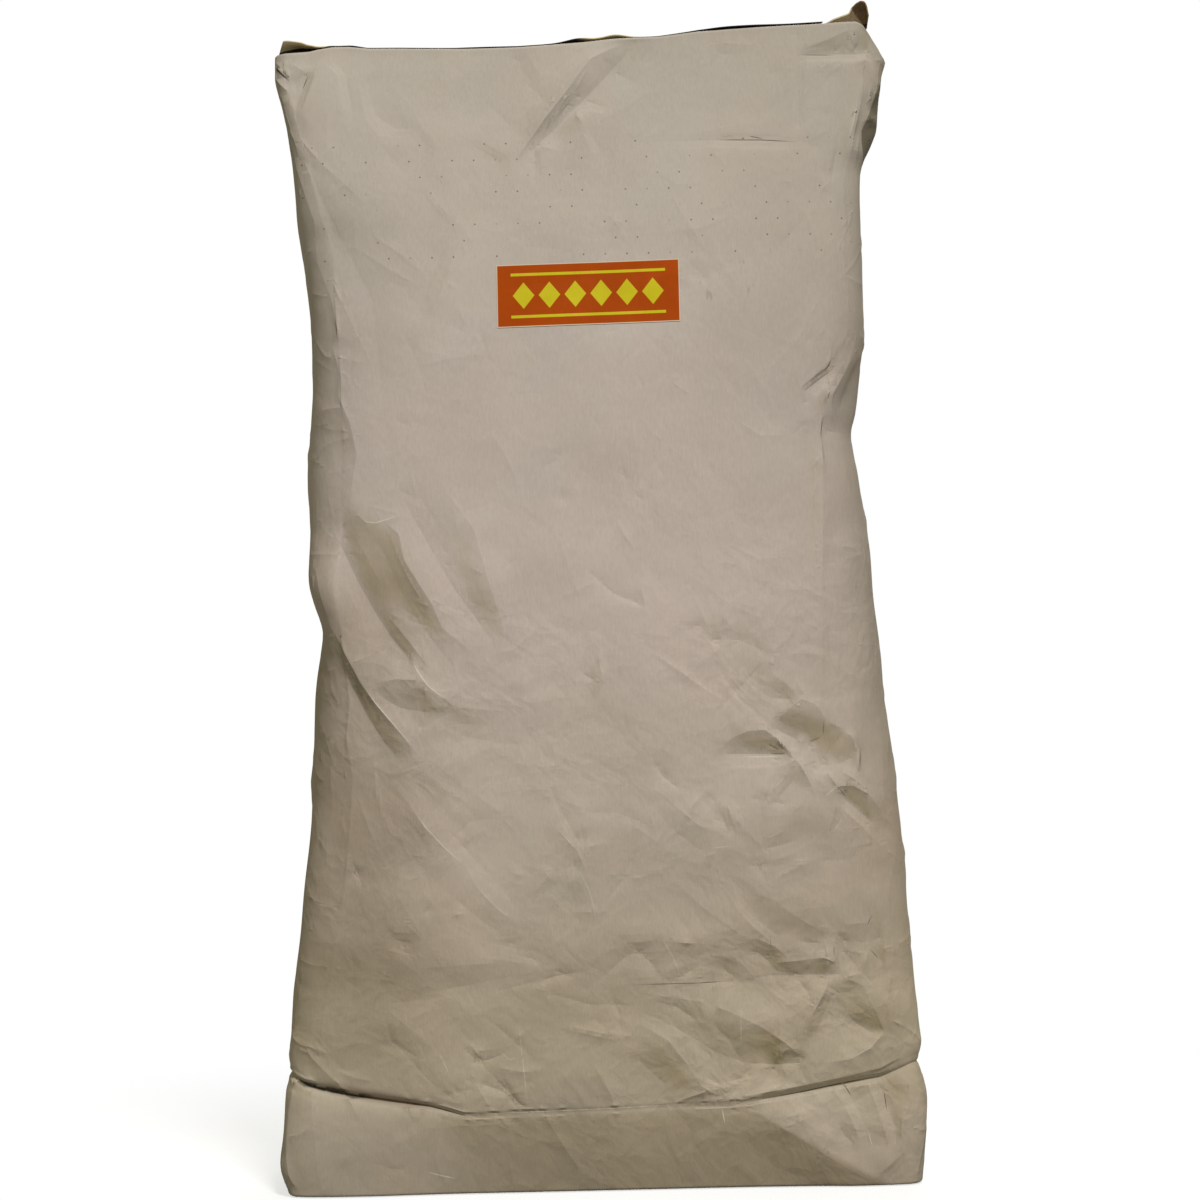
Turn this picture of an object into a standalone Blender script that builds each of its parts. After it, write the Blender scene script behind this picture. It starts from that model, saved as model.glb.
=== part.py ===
"""Filled paper sack of vermiculite, standing on its block bottom.

Metres, +Z up. The origin is on the floor under the middle of the sack, and the
front, which carries the label, faces -Y. The sack is one closed body: the paper
tube with the loose granules that fill it. The strips of paper glued over its two
folded ends, the filling valve's sleeve and the label are pieces of their own.
"""

import bmesh
import bpy
import numpy as np

# Outlines of the filled sack, each a short list of (height, reach) from the floor up.
# The left and right ones are what the photo shows. The depth is front and back alike.
LEFT_EDGE = (
    (0.000, 0.253),
    (0.034, 0.261),
    (0.074, 0.252),
    (0.165, 0.246),
    (0.310, 0.229),
    (0.455, 0.217),
    (0.500, 0.228),
    (0.710, 0.222),
    (0.820, 0.233),
    (0.895, 0.248),
    (0.924, 0.245),
)
RIGHT_EDGE = (
    (0.000, 0.254),
    (0.034, 0.260),
    (0.074, 0.252),
    (0.120, 0.257),
    (0.310, 0.244),
    (0.490, 0.228),
    (0.600, 0.214),
    (0.640, 0.222),
    (0.820, 0.230),
    (0.885, 0.247),
    (0.924, 0.243),
)
HALF_DEPTH = (
    (0.000, 0.088),
    (0.050, 0.094),
    (0.074, 0.088),
    (0.120, 0.113),
    (0.200, 0.131),
    (0.390, 0.145),
    (0.600, 0.134),
    (0.770, 0.112),
    (0.924, 0.085),
)
# How square a section is, where 2 is an ellipse and 12 is nearly a rectangle.
SQUARENESS = (
    (0.000, 14.0),
    (0.090, 10.0),
    (0.165, 6.5),
    (0.390, 4.4),
    (0.600, 4.2),
    (0.770, 5.3),
    (0.924, 12.0),
)
TOP = 0.924
ROW_CUTS = (
    *(0.012, 0.034, 0.058, 0.074, 0.090, 0.120, 0.165, 0.230, 0.310, 0.385, 0.455),
    *(0.500, 0.550, 0.600, 0.640, 0.705, 0.765, 0.820, 0.860, 0.895, 0.914),
)
ACROSS_CUTS = (0.14, 0.40, 0.64, 0.84, 0.96)  # shares of the half width, both ways
DEPTH_CUTS = (0.0, 0.50, 0.88)  # shares of the half depth, both ways
RIM_CREASE = 1.0

# The crease left by the flat sack's folded bottom sags in the middle.
BOTTOM_CREASE = 0.074
CREASE_RISE = 0.024  # at the ends, above the middle
CREASE_REACH = 0.090  # how far above and below it the paper is drawn along
HALF_WIDTH = 0.250

# The top face climbs to the right and drops at its ends: where from, and how far.
TOP_CLIMB = 0.034  # metres of height a metre of width
CLIMB_FROM = 0.80  # the walls below this are level
LEFT_DROP = (0.228, 0.008)
RIGHT_DROP = (0.220, 0.024)

FOOT_GAP = 0.0003
PATCH_THICK = 0.0006
FOOT = PATCH_THICK + FOOT_GAP  # the sack's underside stands on its glued strip
LAY_GAP = 0.0005  # between a piece of paper and the one it lies on

BOTTOM_PATCH = (0.480, 0.150)
TOP_PATCH_LEFT, TOP_PATCH_RIGHT = -0.240, 0.196
TOP_PATCH_DEPTH = 0.158
CURL = 0.008  # the strip's loose left corner, lifted
CURL_LONG = 0.075
CLIMB_ON_SLEEVE = (0.035, 0.008)  # where the strip starts and ends its climb, left of the sleeve

SLEEVE_LEFT, SLEEVE_RIGHT = 0.125, 0.232
SLEEVE_DEPTH = 0.130
SLEEVE_THICK = 0.0010
EAR_RISE = 0.020  # the sleeve's front corner, bent up
EAR_LONG = 0.034

LABEL_SIZE = (0.145, 0.050)
LABEL_CENTRE = (0.003, 0.716)
LABEL_THICK = 0.0004
LABEL_OFF = 0.0006

PAPER = ("kraft_paper", (0.43, 0.37, 0.29), 0.78)
PATCH_PAPER = ("patch_paper", (0.45, 0.38, 0.27), 0.80)
SLEEVE_PAPER = ("sleeve_paper", (0.34, 0.23, 0.13), 0.80)
LABEL_INK = ("label_orange", (0.55, 0.12, 0.01), 0.45)


def smooth_step(value, low, high):
    """0 below low, 1 above high and a smooth climb between them."""
    share = min(max((value - low) / (high - low), 0.0), 1.0)
    return share * share * (3 - 2 * share)


def end_drop(x):
    """How far the top face has dropped at x, near either end."""
    start, drop = RIGHT_DROP if x > 0 else LEFT_DROP
    return drop * smooth_step(abs(x), start, HALF_WIDTH)


def reach(outline, height):
    """The outline's value at a height, straight between its points."""
    heights, values = zip(*outline)
    return float(np.interp(height, heights, values))


def sack_point(across, deep, height):
    """A point of the block, across and deep from -1 to 1, carried to the sack.

    The point of the unit square is divided by its norm of the section's squareness,
    which rounds the square's corners, and is then scaled by the section's reaches.
    """
    square = reach(SQUARENESS, height)
    ring = max(abs(across), abs(deep))
    norm = (abs(across) ** square + abs(deep) ** square) ** (1 / square)
    pull = ring / norm if norm else 1.0
    x = across * pull * reach(RIGHT_EDGE if across > 0 else LEFT_EDGE, height)
    y = deep * pull * reach(HALF_DEPTH, height)
    near_crease = 1 - smooth_step(abs(height - BOTTOM_CREASE), 0, CREASE_REACH)
    sag = CREASE_RISE * (x / HALF_WIDTH) ** 2 * near_crease * min(height / BOTTOM_CREASE, 1)
    climb = (TOP_CLIMB * x - end_drop(x)) * smooth_step(height, CLIMB_FROM, TOP)
    return x, y, FOOT + height + sag + climb


def new_material(name, colour, roughness):
    material = bpy.data.materials.new(name)
    material.use_nodes = True
    shader = material.node_tree.nodes["Principled BSDF"]
    shader.inputs["Base Color"].default_value = (*colour, 1.0)
    shader.inputs["Roughness"].default_value = roughness
    shader.inputs["Metallic"].default_value = 0.0
    return material


def new_piece(name, mesh, finish, collection):
    """A named object of the sack with its own material."""
    piece = bpy.data.objects.new(name, mesh)
    piece.data.materials.append(new_material(*finish))
    collection.objects.link(piece)
    return piece


def cut_across(bm, position, axis):
    """Cuts every face of the block by one plane square to the axis."""
    point = [0.0, 0.0, 0.0]
    point[axis] = position
    normal = [0.0, 0.0, 0.0]
    normal[axis] = 1.0
    everything = bm.verts[:] + bm.edges[:] + bm.faces[:]
    bmesh.ops.bisect_plane(bm, geom=everything, plane_co=point, plane_no=normal, dist=1e-6)


def is_rim(edge):
    """True on the fold between a wall and the top or bottom face."""
    heights = [vertex.co.z for vertex in edge.verts]
    on_end = max(heights) < 1e-6 or min(heights) > TOP - 1e-6
    on_outline = all(max(abs(v.co.x), abs(v.co.y)) > 1 - 1e-6 for v in edge.verts)
    return on_end and on_outline


def make_sack(collection):
    """A block is cut by planes at each section, carried to the sack's shape and smoothed."""
    bm = bmesh.new()
    bmesh.ops.create_cube(bm, size=2.0)
    for vertex in bm.verts:
        vertex.co.z = TOP if vertex.co.z > 0 else 0.0
    for share in ACROSS_CUTS:
        cut_across(bm, share, 0)
        cut_across(bm, -share, 0)
    for share in DEPTH_CUTS:
        for place in sorted({share, -share}):
            cut_across(bm, place, 1)
    for height in ROW_CUTS:
        cut_across(bm, height, 2)
    crease = bm.edges.layers.float.new("crease_edge")
    for edge in bm.edges:
        if is_rim(edge):
            edge[crease] = RIM_CREASE
    for vertex in bm.verts:
        vertex.co = sack_point(*vertex.co)
    mesh = bpy.data.meshes.new("paper_sack")
    bm.to_mesh(mesh)
    bm.free()
    mesh.shade_smooth()
    sack = new_piece("paper_sack", mesh, PAPER, collection)
    rounding = sack.modifiers.new("rounding", "SUBSURF")
    rounding.levels = 1
    rounding.render_levels = 1
    return sack


def sheet_mesh(name, left, right, depth, columns, rows, height_at):
    """A flat sheet of paper as a grid, each point lifted to height_at(x, y)."""
    bm = bmesh.new()
    bmesh.ops.create_grid(bm, x_segments=columns, y_segments=rows, size=0.5)
    for vertex in bm.verts:
        x = left + (vertex.co.x + 0.5) * (right - left)
        y = vertex.co.y * depth
        vertex.co = (x, y, height_at(x, y))
    mesh = bpy.data.meshes.new(name)
    bm.to_mesh(mesh)
    bm.free()
    mesh.shade_smooth()
    return mesh


def thicken(piece, thickness):
    """Gives a sheet its thickness, from its under side up."""
    wall = piece.modifiers.new("thickness", "SOLIDIFY")
    wall.thickness = thickness
    wall.offset = 1.0


def top_plane(x):
    """The height of the top face at x, were it flat out to its ends."""
    return FOOT + TOP + TOP_CLIMB * x


def patch_height(x, y):
    """The glued strip lies on the top, climbs over the sleeve and curls up at its loose corner."""
    start, end = (SLEEVE_LEFT - before for before in CLIMB_ON_SLEEVE)
    over_sleeve = (SLEEVE_THICK + LAY_GAP) * smooth_step(x, start, end)
    along = 1 - smooth_step(x, TOP_PATCH_LEFT, TOP_PATCH_LEFT + CURL_LONG)
    to_front = smooth_step(-y, -TOP_PATCH_DEPTH / 2, TOP_PATCH_DEPTH / 2)
    return top_plane(x) + LAY_GAP + over_sleeve + CURL * along * to_front


def sleeve_height(x, y):
    """The sleeve lies on the top and runs out over its dropping end. Its front corner is bent up."""
    from_corner = (SLEEVE_RIGHT - x) + (y + SLEEVE_DEPTH / 2)
    ear = EAR_RISE * max(1 - from_corner / EAR_LONG, 0.0) ** 1.5
    return top_plane(x) + LAY_GAP + ear


def make_top_patch(collection):
    mesh = sheet_mesh(
        "top_cover_patch", TOP_PATCH_LEFT, TOP_PATCH_RIGHT, TOP_PATCH_DEPTH, 34, 6, patch_height
    )
    patch = new_piece("top_cover_patch", mesh, PATCH_PAPER, collection)
    thicken(patch, PATCH_THICK)
    return patch


def make_sleeve(collection):
    mesh = sheet_mesh(
        "valve_sleeve", SLEEVE_LEFT, SLEEVE_RIGHT, SLEEVE_DEPTH, 20, 20, sleeve_height
    )
    sleeve = new_piece("valve_sleeve", mesh, SLEEVE_PAPER, collection)
    thicken(sleeve, SLEEVE_THICK)
    return sleeve


def make_bottom_patch(collection):
    """The strip glued over the folded bottom, which the sack stands on."""
    width, depth = BOTTOM_PATCH
    bm = bmesh.new()
    bmesh.ops.create_cube(bm, size=1.0)
    for vertex in bm.verts:
        vertex.co.x *= width
        vertex.co.y *= depth
        vertex.co.z = PATCH_THICK if vertex.co.z > 0 else 0.0
    mesh = bpy.data.meshes.new("bottom_cover_patch")
    bm.to_mesh(mesh)
    bm.free()
    return new_piece("bottom_cover_patch", mesh, PATCH_PAPER, collection)


def make_label(collection, sack):
    """A printed label laid on the front wall, so it takes the wall's curve."""
    width, height = LABEL_SIZE
    bm = bmesh.new()
    bmesh.ops.create_grid(bm, x_segments=18, y_segments=6, size=0.5)
    for vertex in bm.verts:
        x = LABEL_CENTRE[0] + vertex.co.x * width
        z = LABEL_CENTRE[1] + vertex.co.y * height
        vertex.co = (x, -0.30, z)
    mesh = bpy.data.meshes.new("front_label")
    bm.to_mesh(mesh)
    bm.free()
    mesh.shade_smooth()
    label = new_piece("front_label", mesh, LABEL_INK, collection)
    laid = label.modifiers.new("laid_on_wall", "SHRINKWRAP")
    laid.target = sack
    laid.wrap_method = "PROJECT"
    laid.use_project_y = True
    laid.use_positive_direction = True
    laid.use_negative_direction = False
    laid.wrap_mode = "ABOVE_SURFACE"
    laid.offset = LABEL_OFF
    thicken(label, LABEL_THICK)
    return label


def main():
    for obj in list(bpy.data.objects):
        bpy.data.objects.remove(obj, do_unlink=True)
    collection = bpy.data.collections.new("vermiculite_bag")
    bpy.context.scene.collection.children.link(collection)
    sack = make_sack(collection)
    make_bottom_patch(collection)
    make_top_patch(collection)
    make_sleeve(collection)
    make_label(collection, sack)


main()
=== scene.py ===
"""Looks of a filled kraft paper sack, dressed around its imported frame.

Metres, +Z up, and the front, which carries the label, faces -Y. The sack's walls are
one grid: columns run once round the sack and rows run from the floor up. A formula
gives each row its rounded-box section, and creases are then added along the surface's
normal. The creases that the photograph shows are short lists of its pixels, carried to
the front wall by the camera's own geometry. The rest come from seeded random draws.
"""

import math

import bpy
import numpy as np
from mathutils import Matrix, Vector
from mathutils.geometry import delaunay_2d_cdt


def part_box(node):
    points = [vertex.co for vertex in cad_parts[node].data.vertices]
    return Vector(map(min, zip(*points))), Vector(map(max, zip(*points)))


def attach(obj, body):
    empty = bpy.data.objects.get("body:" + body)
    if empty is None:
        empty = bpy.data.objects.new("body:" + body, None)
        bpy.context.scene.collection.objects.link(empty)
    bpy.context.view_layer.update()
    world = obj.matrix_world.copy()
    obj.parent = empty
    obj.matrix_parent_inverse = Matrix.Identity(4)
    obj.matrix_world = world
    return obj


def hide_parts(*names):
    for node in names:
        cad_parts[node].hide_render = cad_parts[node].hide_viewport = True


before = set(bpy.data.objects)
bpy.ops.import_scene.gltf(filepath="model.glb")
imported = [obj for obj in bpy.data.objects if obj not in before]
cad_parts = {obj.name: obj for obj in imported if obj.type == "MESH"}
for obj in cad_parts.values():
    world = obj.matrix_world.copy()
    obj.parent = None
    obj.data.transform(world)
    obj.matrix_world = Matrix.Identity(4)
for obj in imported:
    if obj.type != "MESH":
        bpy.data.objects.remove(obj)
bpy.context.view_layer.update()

# The camera stands level with the middle of the sack. The photograph is tilted a little.
PHOTO_SIZE = 1200
PHOTO_TILT = math.radians(1.25)
CAMERA_AT = (0.007, -3.0, 0.473)
SENSOR = 36.0
LENS = 109.1

# Outlines of the sack as (height, reach), the same form as the solid's.
LEFT_EDGE = (
    (0.000, 0.2520), (0.004, 0.2535), (0.0155, 0.2614), (0.020, 0.2612), (0.034, 0.2580),
    (0.050, 0.2555), (0.061, 0.2535), (0.064, 0.2505), (0.067, 0.2515), (0.078, 0.252), (0.137, 0.249),
    (0.170, 0.246), (0.250, 0.236), (0.313, 0.229), (0.377, 0.226), (0.440, 0.219), (0.457, 0.217),
    (0.475, 0.223), (0.492, 0.227), (0.570, 0.227), (0.617, 0.225), (0.650, 0.222), (0.745, 0.224),
    (0.780, 0.230), (0.825, 0.2320), (0.857, 0.2362), (0.889, 0.2436), (0.910, 0.2466), (0.924, 0.2445),
)
RIGHT_EDGE = (
    (0.000, 0.2555), (0.012, 0.2568), (0.030, 0.2605), (0.045, 0.2615), (0.054, 0.259), (0.064, 0.2525),
    (0.080, 0.258), (0.137, 0.256), (0.170, 0.253), (0.250, 0.248), (0.313, 0.244), (0.400, 0.236),
    (0.473, 0.229), (0.505, 0.227), (0.570, 0.220), (0.590, 0.215), (0.603, 0.214), (0.617, 0.219),
    (0.650, 0.222), (0.697, 0.225), (0.780, 0.226), (0.8175, 0.2265), (0.827, 0.231), (0.840, 0.2358),
    (0.852, 0.2385), (0.8625, 0.240), (0.869, 0.2395), (0.8825, 0.2412), (0.9035, 0.2418),
    (0.915, 0.2440), (0.924, 0.2465),
)
HALF_DEPTH = (
    (0.000, 0.099), (0.045, 0.098), (0.064, 0.097), (0.110, 0.106), (0.200, 0.126), (0.300, 0.140),
    (0.390, 0.144), (0.500, 0.141), (0.600, 0.134), (0.770, 0.112), (0.924, 0.085),
)
SQUARENESS = (
    (0.000, 16.0), (0.090, 11.0), (0.165, 7.0), (0.390, 4.6), (0.600, 4.6), (0.770, 6.0), (0.860, 9.0),
    (0.924, 16.0),
)
ELBOW_HEIGHT, ELBOW_TALL, ELBOW_SQUARER = 0.465, 0.055, 2.6
SHOULDER_SQUARER = 7.0
TOP = 0.924
FOOT = 0.0009
HALF_WIDTH = 0.250
BOTTOM_CREASE = 0.064
CREASE_REACH = 0.090
TOP_CLIMB = 0.034
CLIMB_FROM = 0.80
LEFT_DROP = (0.243, 0.0025)

# How far the top has dropped towards its cut-off right end, as (x, metres).
RIGHT_DROP = ((0.2225, 0.0), (0.2275, 0.0030), (0.2465, 0.0290), (0.250, 0.0300))

# The front top edge sags below the formula's plane by this much, as (x, metres).
TOP_SAG = (
    (-0.250, 0.001), (-0.237, -0.0003), (-0.220, 0.0001), (-0.2100, -0.0018), (-0.198, -0.0030),
    (-0.184, -0.0025), (-0.170, -0.0002), (-0.144, 0.0012), (-0.100, 0.004), (-0.049, 0.0055),
    (0.000, 0.0045), (0.030, 0.0035), (0.063, 0.0035), (0.095, 0.0008), (0.143, 0.000), (0.250, 0.000),
)
EDGE_ROUNDING = 0.002
BAND_LEAN = 0.006  # how far the foot draws in between its ends

# How finely the walls are divided: (from, to, columns) of each wall, then rows by height.
FRONT_SPREAD = ((-1.0, 1.0, 186),)
SIDE_SPREAD = ((-1.0, 1.0, 34),)
BACK_SPREAD = ((-1.0, 0.16, 31), (0.16, 0.19, 4), (0.19, 0.31, 4), (0.31, 0.34, 4), (0.34, 1.0, 17))
ROW_SPREAD = (
    (0.0, 0.003, 4), (0.003, 0.054, 18), (0.054, 0.074, 12), (0.074, 0.170, 36),
    (0.170, 0.750, 176), (0.750, 0.9215, 56), (0.9215, TOP, 4),
)
CAP_RINGS = 6

# The glued strips and the valve's sleeve, as the solids have them.
LAY_GAP = 0.0005
PATCH_THICK = 0.0006
PATCH_LEFT, PATCH_RIGHT, PATCH_DEPTH = -0.240, 0.196, 0.158

# How high the strip's left front corner curls, as (x, metres).
CURL_PROFILE = (
    (-0.240, 0.0092), (-0.237, 0.0090), (-0.2243, 0.0072), (-0.2137, 0.0030), (-0.2105, 0.0015),
    (-0.196, 0.0004), (-0.180, 0.0007), (-0.171, 0.0001), (-0.160, 0.0),
)
SLEEVE_LEFT, SLEEVE_RIGHT, SLEEVE_DEPTH = 0.125, 0.2343, 0.130
SLEEVE_THICK = 0.0010
EAR_LONG = 0.022

# How high the sleeve's front corner stands off the top, as (x, metres).
EAR_PROFILE = (
    (0.198, 0.0), (0.2052, 0.0040), (0.2183, 0.0080), (0.2197, 0.0118), (0.2240, 0.0158),
    (0.2275, 0.0176), (0.2305, 0.0172), (0.2325, 0.0150), (0.2338, 0.0095), (0.2343, 0.0035),
)
LABEL_TURN = 0.0165
LABEL_LIFT, LABEL_THICK = 0.00045, 0.0002

# Columns and rows of the sheets.
TOP_PATCH_GRID, BOTTOM_PATCH_GRID = (220, 60), (120, 24)
SLEEVE_GRID, LABEL_GRID = (200, 80), (150, 56)


def smooth_step(value, low, high):
    """0 below low, 1 above high and a smooth climb between them."""
    share = np.clip((value - low) / (high - low), 0.0, 1.0)
    return share * share * (3 - 2 * share)


def reach(outline, height, soften=0.006):
    """The outline's value at each height, with its corners rounded.

    It is the mean of the straight line between the points at three heights.
    """
    heights, values = np.array(outline).T
    nearby = [np.interp(height + shift, heights, values) for shift in (-soften, 0, soften)]
    return np.mean(nearby, axis=0)


# The photograph


def squareness(height, x):
    """How square the section is. On the left it is more so at the elbow, by a bell curve's
    share, and at the top, by a smooth climb.
    """
    elbow = np.exp(-(((height - ELBOW_HEIGHT) / ELBOW_TALL) ** 2))
    shoulder = smooth_step(height, 0.76, 0.88)
    return reach(SQUARENESS, height) + (ELBOW_SQUARER * elbow + SHOULDER_SQUARER * shoulder) * (x < 0)


def on_front(points):
    """Photograph pixels as x and z on the front wall, by the camera's own geometry."""
    dx, dy = (np.array(points, float) - PHOTO_SIZE / 2).T
    level_x = math.cos(PHOTO_TILT) * dx - math.sin(PHOTO_TILT) * dy
    level_y = math.sin(PHOTO_TILT) * dx + math.cos(PHOTO_TILT) * dy
    focal = PHOTO_SIZE * LENS / SENSOR
    x = np.zeros(len(dx))
    z = np.full(len(dx), CAMERA_AT[2])
    for _ in range(4):
        square = squareness(z, x)
        wide = np.where(x > 0, reach(RIGHT_EDGE, z), reach(LEFT_EDGE, z))
        share = np.clip(np.abs(x) / wide, 0, 0.99)
        away = -reach(HALF_DEPTH, z) * (1 - share**square) ** (1 / square) - CAMERA_AT[1]
        x = CAMERA_AT[0] + level_x * away / focal
        z = CAMERA_AT[2] - level_y * away / focal
    return np.stack([x, z], axis=1)


# The line where the belly meets the block bottom, from left to right.
BOTTOM_LINE_PX = (
    (289, 1074), (310, 1087), (352, 1096), (430, 1107), (464, 1116), (528, 1113), (635, 1109),
    (741, 1103), (805, 1092), (843, 1084), (882, 1077), (913, 1063),
)

# Folded faces of the front wall. Each line is a ridge or a valley through points given as
# (pixel across, pixel down, millimetres out of the wall). The paper is flat between lines.
LEFT_SIDE_FOLDS = (
    (
        (294, 160, 0), (306, 195, 3), (316, 222, 5), (320, 262, 6), (334, 300, 7), (341, 332, 7),
        (336, 347, 6), (343, 376, 6), (341, 396, 5), (352, 424, 4), (358, 455, 3), (352, 490, 2),
        (336, 508, 0),
    ),
    (
        (306, 165, 0), (330, 215, 0), (352, 260, 0), (372, 300, 0), (378, 345, 0), (382, 400, 0),
        (388, 440, 0),
    ),
    (
        (340, 655, 0), (350, 700, 0.5), (347, 740, 1.2), (353, 775, 1.6), (350, 830, 1.6),
        (345, 890, 1.4), (335, 950, 1.2), (325, 1010, 1.2), (318, 1060, 0.6),
    ),
    ((380, 790, 0), (382, 850, 0), (375, 910, 0), (368, 970, 0), (360, 1040, 0)),
)
ELBOW_FOLDS = (
    (
        (388, 525, 1.0), (399, 534, 2.4), (404, 560, 3.0), (418, 582, 3.2), (433, 606, 3.0),
        (442, 628, 1.8), (470, 650, 0.4),
    ),
    ((408, 508, -0.6), (436, 558, -1.8), (455, 590, -2.0), (475, 617, -1.6), (495, 646, -0.3)),
    ((438, 480, 0.3), (474, 530, 2.6), (488, 580, 2.8), (504, 628, 1.2)),
    ((480, 470, 0), (560, 540, 0.8), (580, 600, 0.6), (570, 650, 0)),
    ((358, 515, 0.8), (366, 522, 1.0), (376, 523, 1.0), (400, 515, 0.5)),
    ((366, 528, -1.6), (379, 545, -2.2), (388, 562, -2.4), (398, 585, -2.6), (408, 604, -2.2)),
    ((392, 615, -3.6), (406, 620, -3.2), (420, 624, -2.2), (436, 628, 0.2)),
    ((390, 620, -2.8), (400, 631, -1.0), (414, 648, 0.4), (427, 665, 0.8)),
    ((426, 632, -1.4), (440, 650, -1.0), (452, 664, -0.2)),
    ((352, 533, -3.0), (366, 558, -3.8), (380, 584, -4.6), (390, 604, -4.8)),
    (
        (332, 530, -3.0), (343, 556, -6.5), (356, 583, -8.2), (372, 611, -8.4), (390, 637, -6.8),
        (406, 656, -4.0), (422, 671, -0.8),
    ),
    (
        (316, 570, 2), (322, 595, 4), (333, 628, 4), (346, 652, 4), (362, 683, 3.5), (375, 702, 3.5),
        (390, 720, 3.0), (405, 738, 2.0), (421, 758, 0.3),
    ),
    (
        (328, 645, -3), (341, 668, -3), (356, 695, -2.5), (368, 718, -2), (385, 744, -1.5),
        (402, 763, -0.3),
    ),
    ((410, 654, 0.3), (417, 670, 2.2), (428, 686, 2.6), (448, 701, 2.0), (460, 716, 0.4)),
    ((372, 684, 2.4), (396, 679, 2.2), (414, 680, 2.4)),
    ((382, 697, 0.8), (400, 708, -1.0), (424, 712, -1.4), (446, 712, -0.6)),
    ((420, 728, -1.2), (462, 724, -1.6), (502, 726, 0)),
    ((432, 708, 0.6), (468, 708, 1.0), (504, 711, 0.6)),
    ((440, 690, 0.2), (480, 684, 0.3), (506, 682, 0)),
)
LOWER_LEFT_FOLDS = (
    (
        (398, 790, 0), (412, 808, 1.8), (426, 828, 2.4), (446, 849, 2.4), (466, 867, 1.2),
        (476, 886, 1.5), (498, 909, 2.0), (515, 921, 0.4),
    ),
    ((425, 798, -0.5), (445, 826, -1.0), (468, 852, -1.0), (488, 874, -0.6), (514, 904, -0.6)),
    (
        (390, 816, -0.4), (402, 842, -0.6), (422, 868, -0.6), (445, 890, -0.6), (464, 906, -0.9),
        (486, 924, -0.9), (508, 936, -0.4),
    ),
    ((372, 840, 0.8), (400, 838, 0.8), (376, 866, -0.8), (405, 862, -1.2)),
    ((378, 918, -0.3), (398, 917, -0.3), (386, 932, 1.0), (408, 933, 0.8)),
    ((350, 926, 0), (368, 937, -1.2), (395, 940, -1.6), (420, 945, -1.0), (440, 951, 0)),
    ((366, 948, 0.6), (400, 952, 0.7), (430, 958, 0.5)),
    ((508, 930, 0.9), (540, 940, 0.6)),
    ((468, 936, 0), (505, 947, -1.2), (535, 951, -1.5), (555, 958, -0.2)),
    ((480, 958, 0.9), (522, 963, 0.6)),
    ((424, 994, -1.4), (460, 987, -2.2), (500, 979, -1.6), (532, 973, 0)),
    ((424, 968, 1.4), (482, 964, 1.8), (512, 962, 1.0)),
    ((395, 1003, -1.2), (420, 1000, -1.0), (450, 998, 0.2)),
    (
        (388, 1010, 0.6), (405, 1024, 1.4), (425, 1039, 1.6), (438, 1055, 1.6), (450, 1078, 1.1),
        (457, 1094, 0.3),
    ),
    ((376, 1036, -0.4), (394, 1058, -0.3), (412, 1076, 0), (424, 1090, 0.2)),
    ((442, 1008, -0.4), (466, 1037, -0.4), (484, 1066, -0.3)),
    ((560, 832, 0.6), (577, 850, 0.8), (590, 880, 0.7), (599, 925, 0.5), (598, 980, 0)),
    ((545, 838, -0.5), (562, 862, -0.6), (574, 900, -0.6), (584, 940, -0.2)),
)
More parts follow.
